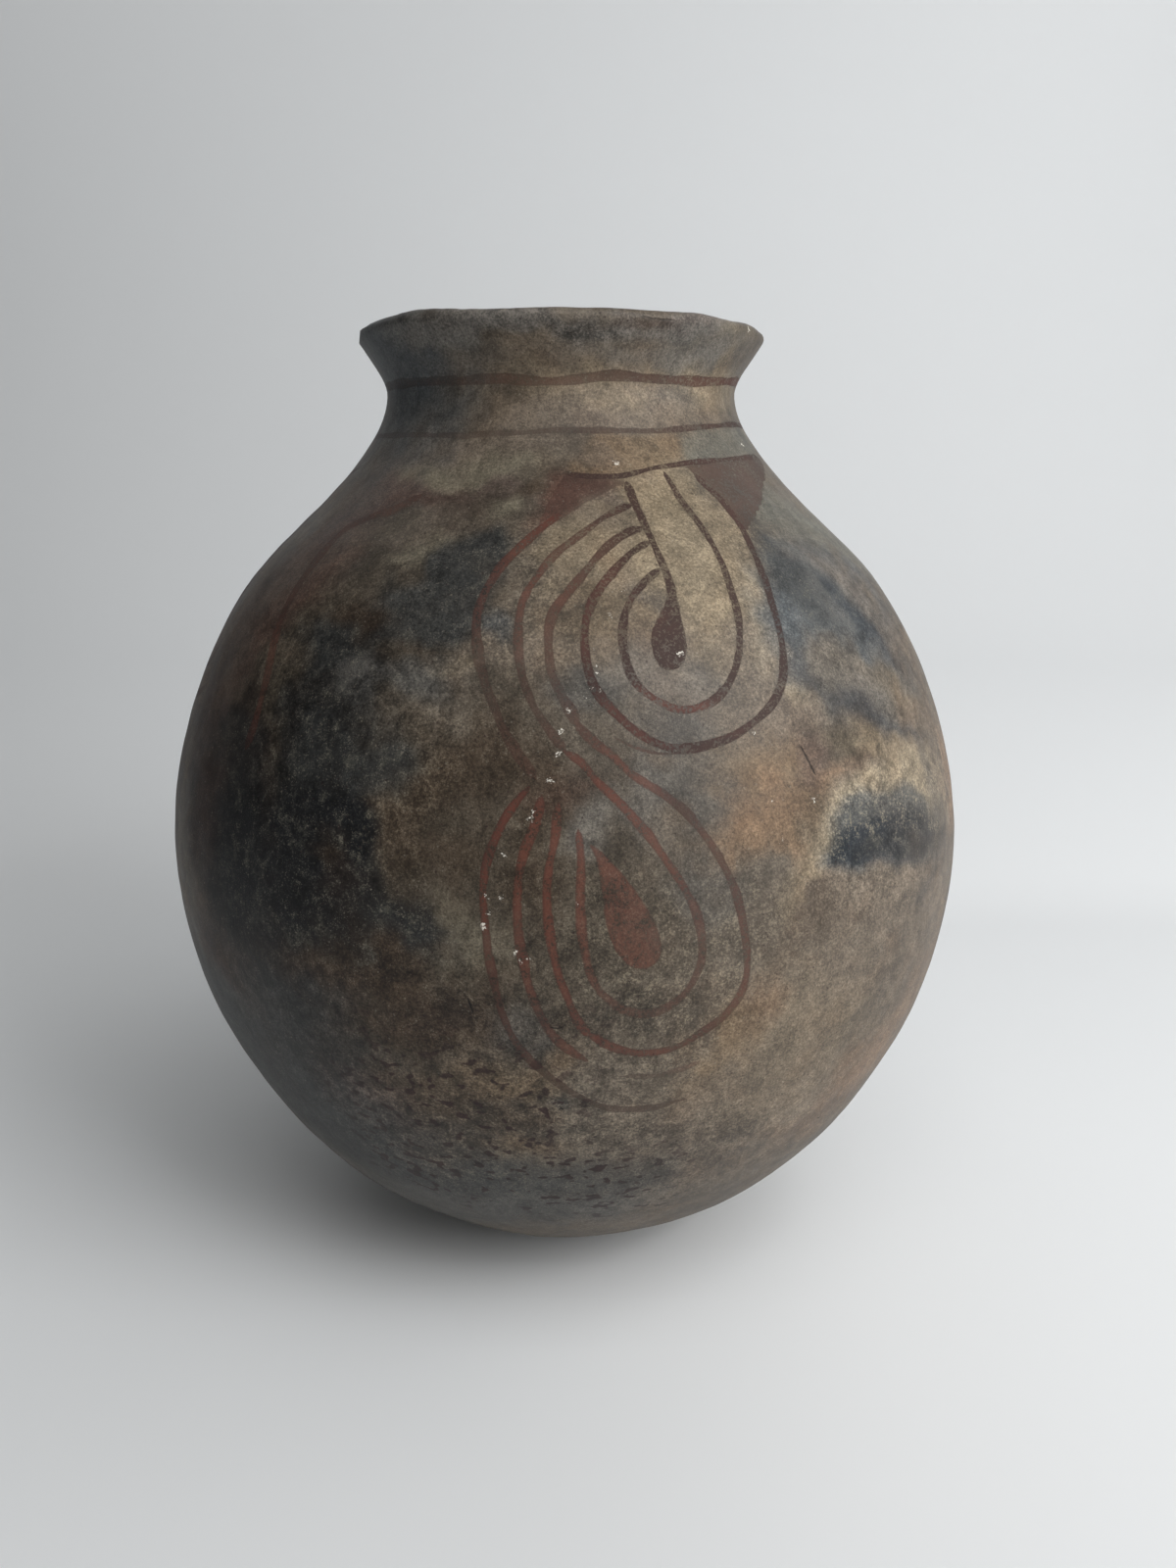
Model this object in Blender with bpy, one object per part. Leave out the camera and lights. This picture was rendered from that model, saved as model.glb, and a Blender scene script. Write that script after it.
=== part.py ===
"""A round-bellied clay water jar with a short flared neck, coil-built by hand and fired in the open.

The jar is one piece of earthenware. It stands on a small flat worn into its round base, the origin
is the middle of that flat, +Z runs up the neck and -Y is the side with the painted loops.
"""

import math

import bmesh
import bpy
from mathutils import Vector

MM = 0.001

# Driving sizes of the outside, in millimetres
BODY_DIAMETER = 330.0
BELLY_HEIGHT = 172.0
NECK_DIAMETER = 141.0
NECK_HEIGHT = 353.5
LIP_FLARE = 11.5
LIP_RISE = 24.5
BASE_FLAT_DIAMETER = 84.0

# Driving sizes of the wall, in millimetres
WALL = 6.5
LIP_THICKNESS = 6.0

# Slopes of the outline, in degrees
BASE_SLOPE = 16.3
SHOULDER_SLOPE = 49.3
LIP_SLOPE = 38.0

# The shoulder is where the outline turns from round to hollow: its place between belly and neck
SHOULDER_SHARE_OUT = 0.479
SHOULDER_SHARE_UP = 0.683

# How full each stretch of the outline is: its two handles as shares of the stretch's own chord
BELLY_FULLNESS = (0.415, 0.273)
SHOULDER_FULLNESS = (0.296, 0.312)
NECK_FULLNESS = (0.227, 0.248)
LIP_FULLNESS = (0.152, 0.478)

# What building by hand leaves, in millimetres: an oval belly, a neck off the middle, an uneven rim
OVALNESS = 0.9
NECK_DRIFT = Vector((-1.3, 0.6))
RIM_WAVE = 0.7

# How finely the round form is cut into flat faces
SEGMENTS = 72
BELLY_RINGS = 13
SHOULDER_RINGS = 9
NECK_RINGS = 7
LIP_RINGS = 4
LIP_ARC_RINGS = 6
INNER_RING_STEP = 2
AXIS_HOLE = 10.0

CLAY_COLOUR = (0.178, 0.130, 0.094, 1.0)
CLAY_ROUGHNESS = 0.62


def direction(slope_degrees, outward):
    """A unit step up the outline that leans by a slope from the vertical, outwards or inwards."""
    slope = math.radians(slope_degrees)
    return Vector((math.sin(slope) * outward, math.cos(slope)))


def stretch(start, start_way, end, end_way, fullness, steps):
    """Points of one smooth stretch of the outline, without its last point."""
    chord = (end - start).length
    first = start + start_way * (chord * fullness[0])
    last = end - end_way * (chord * fullness[1])
    points = []
    for step in range(steps):
        t = step / steps
        s = 1.0 - t
        points.append(start * s**3 + first * (3 * s * s * t) + last * (3 * s * t * t) + end * t**3)
    return points


def lip_centre():
    """The middle of the rounded lip, as radius and height."""
    half = LIP_THICKNESS / 2
    radius = NECK_DIAMETER / 2 + LIP_FLARE - half
    return Vector((radius, NECK_HEIGHT + LIP_RISE - half))


def outer_outline():
    """The outside from the edge of the base flat to the lip, as points of radius and height."""
    belly = Vector((BODY_DIAMETER / 2, BELLY_HEIGHT))
    neck = Vector((NECK_DIAMETER / 2, NECK_HEIGHT))
    foot = Vector((BASE_FLAT_DIAMETER / 2, 0.0))
    shoulder = Vector((
        neck.x + (belly.x - neck.x) * SHOULDER_SHARE_OUT,
        belly.y + (neck.y - belly.y) * SHOULDER_SHARE_UP,
    ))
    up = Vector((0.0, 1.0))
    leaving_base = direction(90.0 - BASE_SLOPE, 1)
    over_shoulder = direction(SHOULDER_SLOPE, -1)
    lip_way = direction(LIP_SLOPE, 1)
    lip_side = Vector((lip_way.y, -lip_way.x))
    lip = lip_centre() + lip_side * (LIP_THICKNESS / 2)
    points = stretch(foot, leaving_base, belly, up, BELLY_FULLNESS, BELLY_RINGS)
    points += stretch(belly, up, shoulder, over_shoulder, SHOULDER_FULLNESS, SHOULDER_RINGS)
    points += stretch(shoulder, over_shoulder, neck, up, NECK_FULLNESS, NECK_RINGS)
    points += stretch(neck, up, lip, lip_way, LIP_FULLNESS, LIP_RINGS)
    return points + [lip]


def lip_arc():
    """The half round over the lip, between its outer and its inner side."""
    lean = math.radians(LIP_SLOPE)
    centre = lip_centre()
    points = []
    for step in range(1, LIP_ARC_RINGS):
        angle = -lean + math.pi * step / LIP_ARC_RINGS
        points.append(centre + Vector((math.cos(angle), math.sin(angle))) * (LIP_THICKNESS / 2))
    return points


def inner_outline(outer):
    """The inside from the lip down to the base, a wall's thickness in from the outside."""
    last = len(outer) - 1
    neck_index = last - LIP_RINGS
    points = []
    for index in range(last, -1, -1):
        before = outer[max(index - 1, 0)]
        after = outer[min(index + 1, last)]
        along = (after - before).normalized()
        inward = Vector((-along.y, along.x))
        thinning = max(0.0, (index - neck_index) / LIP_RINGS)
        wall = WALL + (LIP_THICKNESS - WALL) * thinning
        if index >= neck_index or (neck_index - index) % INNER_RING_STEP == 0:
            points.append(outer[index] + inward * wall)
    floor = [point for point in points if point.x > AXIS_HOLE]
    floor.append(Vector((AXIS_HOLE, WALL)))
    return floor


def spin_outline(outline):
    """A mesh turned from the outline, closed by a flat disc at each end."""
    mesh = bmesh.new()
    verts = [mesh.verts.new((point.x * MM, 0.0, point.y * MM)) for point in outline]
    edges = [mesh.edges.new(pair) for pair in zip(verts, verts[1:])]
    bmesh.ops.spin(
        mesh, geom=verts + edges, cent=(0, 0, 0), axis=(0, 0, 1),
        angle=math.tau, steps=SEGMENTS, use_merge=True, use_duplicate=False,
    )
    open_edges = [edge for edge in mesh.edges if edge.is_boundary]
    bmesh.ops.contextual_create(mesh, geom=open_edges)
    bmesh.ops.holes_fill(mesh, edges=[edge for edge in mesh.edges if edge.is_boundary], sides=0)
    bmesh.ops.recalc_face_normals(mesh, faces=mesh.faces)
    return mesh


def hand_built(point):
    """A point of the turned form, in metres, moved as hand building left it. The base flat stays flat."""
    azimuth = math.atan2(point.y, point.x)
    height = point.z / MM
    belly_share = math.sin(math.pi * min(max(height / (2 * BELLY_HEIGHT), 0.0), 1.0))
    neck_share = min(max((height - BELLY_HEIGHT) / (NECK_HEIGHT - BELLY_HEIGHT), 0.0), 1.0)
    rim_share = min(max((height - NECK_HEIGHT) / LIP_RISE, 0.0), 1.0)
    oval = OVALNESS * belly_share * math.cos(2 * azimuth)
    drift = NECK_DRIFT * (neck_share * neck_share)
    wave = RIM_WAVE * rim_share * (math.sin(2 * azimuth + 0.6) + 0.5 * math.sin(5 * azimuth))
    return Vector((
        point.x + (oval * math.cos(azimuth) + drift.x) * MM,
        point.y + (oval * math.sin(azimuth) + drift.y) * MM,
        point.z + wave * MM,
    ))


def clay_material():
    """Burnished low-fired earthenware."""
    material = bpy.data.materials.new("burnished_earthenware")
    material.use_nodes = True
    shader = material.node_tree.nodes["Principled BSDF"]
    shader.inputs["Base Color"].default_value = CLAY_COLOUR
    shader.inputs["Roughness"].default_value = CLAY_ROUGHNESS
    shader.inputs["Metallic"].default_value = 0.0
    return material


def build_olla():
    """The whole jar: one hollow, open-mouthed solid."""
    outer = outer_outline()
    mesh = spin_outline(outer + lip_arc() + inner_outline(outer))
    for vert in mesh.verts:
        vert.co = hand_built(vert.co)
    data = bpy.data.meshes.new("olla")
    mesh.to_mesh(data)
    mesh.free()
    data.shade_smooth()
    data.set_sharp_from_angle(angle=math.radians(40))
    data.materials.append(clay_material())
    jar = bpy.data.objects.new("olla", data)
    bpy.context.scene.collection.objects.link(jar)


def main():
    """Clears the scene and builds the jar."""
    for old in list(bpy.data.objects):
        bpy.data.objects.remove(old)
    build_olla()


main()
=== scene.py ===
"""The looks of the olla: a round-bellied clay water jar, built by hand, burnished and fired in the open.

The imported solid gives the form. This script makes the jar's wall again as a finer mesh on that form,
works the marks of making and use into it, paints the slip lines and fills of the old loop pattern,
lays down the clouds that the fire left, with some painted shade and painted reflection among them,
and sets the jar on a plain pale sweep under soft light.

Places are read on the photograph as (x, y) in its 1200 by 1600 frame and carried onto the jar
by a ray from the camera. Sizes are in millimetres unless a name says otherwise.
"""

import logging
import math
from collections.abc import Iterable
from dataclasses import dataclass
from enum import Enum

import bpy
import numpy as np
from mathutils import Matrix, Vector
from mathutils.bvhtree import BVHTree


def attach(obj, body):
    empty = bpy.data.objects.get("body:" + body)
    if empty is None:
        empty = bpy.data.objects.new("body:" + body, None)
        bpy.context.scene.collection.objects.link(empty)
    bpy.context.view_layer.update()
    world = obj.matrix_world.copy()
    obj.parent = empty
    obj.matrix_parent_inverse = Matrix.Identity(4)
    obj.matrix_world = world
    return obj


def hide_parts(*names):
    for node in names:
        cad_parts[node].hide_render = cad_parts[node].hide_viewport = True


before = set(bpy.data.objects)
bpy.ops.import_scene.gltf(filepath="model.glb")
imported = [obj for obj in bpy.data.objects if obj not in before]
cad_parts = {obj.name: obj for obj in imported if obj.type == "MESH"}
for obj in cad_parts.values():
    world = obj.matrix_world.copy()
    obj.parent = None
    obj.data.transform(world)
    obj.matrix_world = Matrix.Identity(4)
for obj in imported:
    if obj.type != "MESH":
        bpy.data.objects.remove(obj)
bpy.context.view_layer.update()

MM = 0.001
LOG = logging.getLogger("olla")
Place = tuple[float, float]
Span = tuple[float, float]
Spot = tuple[Vector, float]
Tree = bpy.types.NodeTree
Node = bpy.types.Node
Noises = dict[str, bpy.types.Node]


def linear(hex_colour: str) -> tuple[float, float, float, float]:
    """Turns a colour of the screen into the linear one that a shader takes.

    Args:
        hex_colour: sRGB colour as six hexadecimal digits.

    Returns:
        Linear red, green, blue and an alpha of one.
    """
    shares = [int(hex_colour[start:start + 2], 16) / 255 for start in (0, 2, 4)]
    steps = [share / 12.92 if share <= 0.04045 else ((share + 0.055) / 1.055) ** 2.4 for share in shares]
    return (steps[0], steps[1], steps[2], 1.0)


def add_node(tree: Tree, kind: str, inputs: dict | None = None, **settings: object) -> Node:
    """Adds one node to a material.

    Args:
        tree: The material's node tree.
        kind: The node's type name without the "ShaderNode" it starts with.
        inputs: Socket name or number to what goes in: a constant, an output, or a node, which
            stands for its first output.
        settings: Properties of the node itself.

    Returns:
        The new node.
    """
    node = tree.nodes.new("ShaderNode" + kind)
    for name, value in settings.items():
        setattr(node, name, value)
    for socket, source in (inputs or {}).items():
        if isinstance(source, Node):
            source = source.outputs[0]
        if isinstance(source, bpy.types.NodeSocket):
            tree.links.new(source, node.inputs[socket])
        else:
            node.inputs[socket].default_value = source
    return node


def work_on(piece: bpy.types.Object) -> None:
    """Leaves one object selected and active, in object mode."""
    if bpy.context.object and bpy.context.object.mode != "OBJECT":
        bpy.ops.object.mode_set(mode="OBJECT")
    bpy.ops.object.select_all(action="DESELECT")
    piece.select_set(True)
    bpy.context.view_layer.objects.active = piece


def ease(share: np.ndarray) -> np.ndarray:
    """A soft step from 0 to 1 as the share goes from 0 to 1."""
    held = np.clip(share, 0.0, 1.0)
    return held * held * (3.0 - 2.0 * held)


@dataclass(frozen=True)
class PhotoCamera:
    """The camera that took the photograph, fitted to the jar's outline in it."""

    width_px: float = 1200.0
    height_px: float = 1600.0
    focal_px: float = 1202.0
    sensor_mm: float = 36.0
    looks_down_deg: float = 13.9
    right_of_axis: float = 9.7
    in_front: float = 511.0
    above_floor: float = 315.5
    nearest_m: float = 0.01

    @property
    def place(self) -> Vector:
        """Where the camera stands, in metres."""
        return Vector((self.right_of_axis, -self.in_front, self.above_floor)) * MM

    @property
    def turn(self) -> Matrix:
        """How the camera is turned from looking straight down."""
        return Matrix.Rotation(math.radians(90.0 - self.looks_down_deg), 3, "X")

    def set_up(self) -> None:
        """Makes the camera and gives it to the scene."""
        bpy.ops.object.camera_add(location=self.place, rotation=self.turn.to_euler())
        camera = bpy.context.object
        camera.name = "photo_camera"
        camera.data.sensor_width = self.sensor_mm
        camera.data.lens = self.sensor_mm * self.focal_px / self.height_px
        camera.data.clip_start = self.nearest_m
        bpy.context.scene.camera = camera

    def ray(self, spot: Place) -> Vector:
        """The direction from the camera through a place in the photograph."""
        across = (spot[0] - self.width_px / 2) / self.focal_px
        down = (spot[1] - self.height_px / 2) / self.focal_px
        return (self.turn @ Vector((across, -down, -1.0))).normalized()

    def seen_at(self, points: np.ndarray) -> np.ndarray:
        """Where points in metres show in the photograph, as one (x, y) row each."""
        own = (points - np.array(self.place)) @ np.array(self.turn)
        away = np.maximum(-own[:, 2], 1e-6)
        return np.stack([
            self.width_px / 2 + self.focal_px * own[:, 0] / away,
            self.height_px / 2 - self.focal_px * own[:, 1] / away,
        ], axis=1)


class Clay(Enum):
    """The colours that open firing gave the clay body, as they show in even light. A few of them are also
    laid as painted shade on the left limb and as painted reflection at its edge and on the neck.
    """

    SOOT = "1b1c1e"
    COAL = "2b2a29"
    SMOKE = "3a3b3a"
    SLATE = "2c333a"
    BLUE_GREY = "4b5053"
    GREY = "504f4c"
    STONE = "6b6863"
    DARK_BROWN = "2d2521"
    UMBER = "3f3328"
    BROWN = "4c443a"
    ROSE_BROWN = "574943"
    RED_BROWN = "523a31"
    TAUPE = "5d554b"
    FAWN = "6d6256"
    ORANGE = "80624a"
    OCHRE = "705f4b"
    OLIVE = "777060"
    MOSS = "646259"
    SAND = "837560"
    CREAM = "9c8f79"


class Texture(Enum):
    """Broken-up marks on top of the clay's colours, each a field kept on the mesh."""

    SOOTY = "sooty"
    ASHY = "ashy"
    SPECKLED = "speckled"
    STREAKY = "streaky"
    RUSTY = "rusty"
    SPALLED = "spalled"
    COARSE = "coarse"


@dataclass(frozen=True)
class Smudge:
    """One soft-edged patch, placed and sized as the photograph shows it.

    A turned_deg other than 0 places it as if the jar stood turned by that much on the same spot.
    """

    kind: Clay | Texture
    x: float
    y: float
    wide: float
    tall: float
    strength: float
    softness: float = 0.6
    lean_deg: float = 0.0
    turned_deg: float = 0.0


@dataclass(frozen=True)
class Stain:
    """One soft-edged patch with an outline of its own, drawn as the photograph shows it.

    The softness is how far its edge fades each way, in pixels of the photograph.
    """

    kind: Clay | Texture
    places: tuple[Place, ...]
    strength: float = 1.0
    softness: float = 10.0
    turned_deg: float = 0.0


@dataclass(frozen=True)
class Stroke:
    """One brushed line of slip, in a smooth curve through its places.

    The width and the tapers, which are the lengths of its pointed ends, are in millimetres.
    """

    name: str
    places: tuple[Place, ...]
    width: float = 3.0
    strength: Span = (1.0, 1.0)
    tapers: Span = (3.0, 3.0)
    repeats: bool = True


@dataclass(frozen=True)
class Fill:
    """One area filled with slip, inside a closed outline."""

    name: str
    places: tuple[Place, ...]
    strength: float = 1.0


@dataclass(frozen=True)
class Band:
    """A line of slip right round the neck, seen in front and carried on round the back."""

    name: str
    places: tuple[Place, ...]
    width: float
    strength: Span


@dataclass(frozen=True)
class Fleck:
    """One small spot in the skin: a cluster of burst lime, which is white, or a pit, which is dark."""

    x: float
    y: float
    across: float


def smudges(kind: Clay | Texture, rows: Iterable[tuple[float, ...]]) -> list[Smudge]:
    """Smudges of one kind, from a row of numbers each."""
    return [Smudge(kind, *row) for row in rows]


# How far round from the side that shows the motif stands again
MOTIF_TURNS_DEG = (-90.0, 90.0, 180.0)

STROKES = (
    Stroke("stem", ((639, 490), (648, 514), (662, 544), (672, 567), (682, 590), (688, 618)), 3.0),
    Stroke("inner_loop", (
        (673, 580), (659, 593), (646, 608), (637, 629), (635, 652), (639, 676), (648, 697), (667, 713),
        (692, 724), (718, 720), (736, 708), (749, 687), (755, 661), (754, 632), (747, 603), (738, 578),
        (728, 557), (713, 534), (695, 511), (685, 493), (677, 480),
    ), 2.9),
    Stroke("second_loop", (
        (664, 552), (646, 563), (631, 578), (616, 595), (603, 616), (597, 640), (597, 664), (601, 687),
        (609, 706), (623, 723), (644, 743), (667, 757), (692, 764), (718, 761), (744, 753), (769, 737),
        (789, 717), (799, 693), (799, 665), (793, 634), (784, 603), (775, 578), (766, 557), (756, 537),
        (737, 512), (720, 496), (708, 483),
    ), 3.2),
    Stroke("second_loop_edge", ((625, 752), (654, 765), (680, 769), (710, 765)), 1.0, (0.7, 0.7)),
    Stroke("third_loop", (
        (655, 538), (639, 544), (623, 555), (608, 570), (593, 588), (578, 606), (566, 623), (560, 642),
        (560, 664), (563, 687), (570, 704), (580, 722), (590, 742),
    ), 3.4, (1.0, 0.6)),
    Stroke("fourth_loop", (
        (646, 514), (629, 521), (608, 534), (588, 549), (567, 565), (550, 585), (537, 604), (531, 622),
        (529, 642), (529, 664), (532, 685), (538, 706), (548, 727), (562, 747), (578, 768),
    ), 3.0, (1.0, 0.55)),
    Stroke("outer_loop", (
        (572, 524), (545, 545), (516, 572), (501, 593), (491, 613), (486, 635), (487, 660), (491, 682),
        (497, 703), (505, 723), (517, 751), (530, 772), (547, 795),
    ), 3.4, (1.0, 0.45)),
    Stroke("shoulder_line", (
        (577, 484), (608, 486), (639, 484), (667, 477), (705, 472), (740, 469), (772, 466),
    ), 2.4),
    Stroke("low_outer_right", (
        (585, 735), (603, 755), (623, 770), (646, 791), (669, 805), (692, 821), (710, 840), (728, 865),
        (742, 890), (752, 914), (758, 940), (762, 967), (762, 992), (755, 1015), (739, 1036), (718, 1052),
        (688, 1069), (655, 1075), (626, 1069), (600, 1054),
    ), 3.0, (0.7, 0.85), (3.0, 0.5)),
    Stroke("low_inner_right", (
        (575, 766), (593, 778), (609, 797), (629, 816), (646, 834), (664, 855), (680, 878), (696, 902),
        (708, 925), (715, 947), (717, 971), (713, 991), (700, 1013), (681, 1028), (661, 1035), (641, 1032),
        (629, 1027), (612, 1012), (606, 1004),
    ), 3.0, (0.85, 0.6)),
    Stroke("low_outer_left", (
        (540, 803), (521, 826), (507, 852), (497, 880), (493, 909), (495, 940), (498, 971), (504, 1000),
        (513, 1035), (526, 1063), (542, 1082), (559, 1097), (576, 1110), (592, 1119), (612, 1128),
        (629, 1132), (662, 1131), (700, 1121),
    ), 2.9, (1.0, 0.6), (3.0, 9.0)),
    Stroke("low_second_left", (
        (553, 812), (546, 842), (535, 870), (529, 896), (528, 924), (529, 952), (534, 980), (540, 1006),
        (549, 1030), (561, 1052), (578, 1069), (600, 1083),
    ), 3.2, (0.8, 0.75), (3.0, 6.0)),
    Stroke("low_third_left", (
        (570, 820), (566, 857), (560, 886), (558, 916), (560, 945), (565, 974), (571, 998), (580, 1020),
        (590, 1043), (602, 1056),
    ), 3.0, (0.75, 0.9), (3.0, 0.5)),
    Stroke("low_fourth_left", (
        (590, 846), (593, 880), (592, 913), (593, 944), (597, 972), (603, 996), (614, 1015),
    ), 3.0, (0.8, 0.6)),
    Stroke("low_short_arc", ((635, 1098), (667, 1098), (692, 1092), (715, 1082)), 2.2, (0.45, 0.35)),
    Stroke("side_loop", (
        (430, 505), (405, 519), (380, 527), (352, 541), (328, 565), (303, 599), (284, 637), (272, 690),
        (262, 730), (250, 765),
    ), 4.4, (0.55, 0.6), repeats=False),
)

FILLS = (
    Fill("left_wedge", (
        (577, 484), (610, 488), (640, 490), (624, 499), (603, 511), (587, 520), (572, 530), (558, 539),
        (548, 544), (552, 528), (562, 508), (570, 494),
    ), 0.5),
    Fill("right_wedge", (
        (700, 476), (735, 470), (766, 465), (776, 470), (780, 482), (779, 500), (776, 516), (768, 532),
        (758, 541), (745, 525), (728, 506), (713, 490),
    ), 0.76),
    Fill("upper_drop", (
        (682, 606), (690, 610), (694, 626), (699, 645), (700, 662), (697, 675), (689, 683), (679, 684),
        (671, 678), (665, 666), (664, 652), (668, 636), (676, 622),
    ), 1.0),
    Fill("lower_drop", (
        (600, 858), (612, 866), (629, 885), (645, 904), (662, 929), (673, 952), (676, 972), (667, 986),
        (651, 990), (636, 981), (624, 962), (617, 934), (614, 903), (608, 878),
    ), 0.67),
)

BANDS = (
    Band("neck_band", (
        (468, 389), (508, 386), (548, 389), (580, 388), (623, 383), (660, 386), (709, 389), (750, 389),
    ), 3.6, (0.5, 1.0)),
    Band("neck_foot_band", (
        (473, 445), (499, 442), (537, 441), (565, 439), (600, 439), (637, 439), (672, 439), (709, 436),
        (749, 433),
    ), 2.5, (0.4, 1.0)),
)

CRACKS = (
    Stroke("curved_crack", ((476, 1016), (480, 1026), (483, 1037)), 0.7, (0.9, 0.9), repeats=False),
    Stroke("arc_crack", ((558, 1045), (564, 1049), (571, 1048), (577, 1044)), 0.6, (0.8, 0.8),
           repeats=False),
    Stroke("scratch", ((815, 759), (821, 769), (828, 783), (833, 792)), 1.0, (0.75, 0.75), repeats=False),
    Stroke("rim_nick", ((654, 322), (668, 325), (690, 327)), 0.6, (0.5, 0.5), repeats=False),
)

LIME = tuple(Fleck(*row) for row in (
    (630, 472, 2.6), (694, 666, 2.0), (606, 662, 1.0), (611, 671, 1.2), (609, 680, 1.6), (611, 688, 1.5),
    (604, 702, 1.2), (612, 704, 1.6), (598, 712, 1.0), (580, 725, 1.8), (572, 747, 1.8), (569, 768, 2.0),
    (560, 797, 2.2), (545, 829, 1.6), (541, 835, 1.6), (515, 873, 1.4), (496, 914, 1.6), (498, 932, 1.2),
    (493, 946, 2.0), (512, 915, 1.8), (589, 923, 0.8), (526, 972, 1.8), (531, 981, 1.6), (538, 978, 1.2),
    (757, 454, 1.8), (764, 336, 2.0), (788, 818, 1.0), (798, 858, 0.9), (830, 816, 1.6), (806, 667, 0.9),
    (770, 749, 1.0), (636, 603, 1.2), (623, 628, 1.0), (470, 884, 0.8), (380, 908, 0.8),
))

PITS = tuple(Fleck(*row) for row in (
    (790, 918, 1.0), (812, 1089, 1.0), (798, 1115, 1.2), (567, 1045, 0.9), (572, 1131, 1.8),
    (760, 945, 0.7), (700, 1048, 0.7), (402, 1052, 1.0), (668, 1076, 0.8), (835, 1140, 1.6),
    (500, 1118, 1.2), (860, 1012, 0.7), (742, 1122, 0.8), (690, 1165, 0.9), (524, 1160, 1.2),
))

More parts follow.
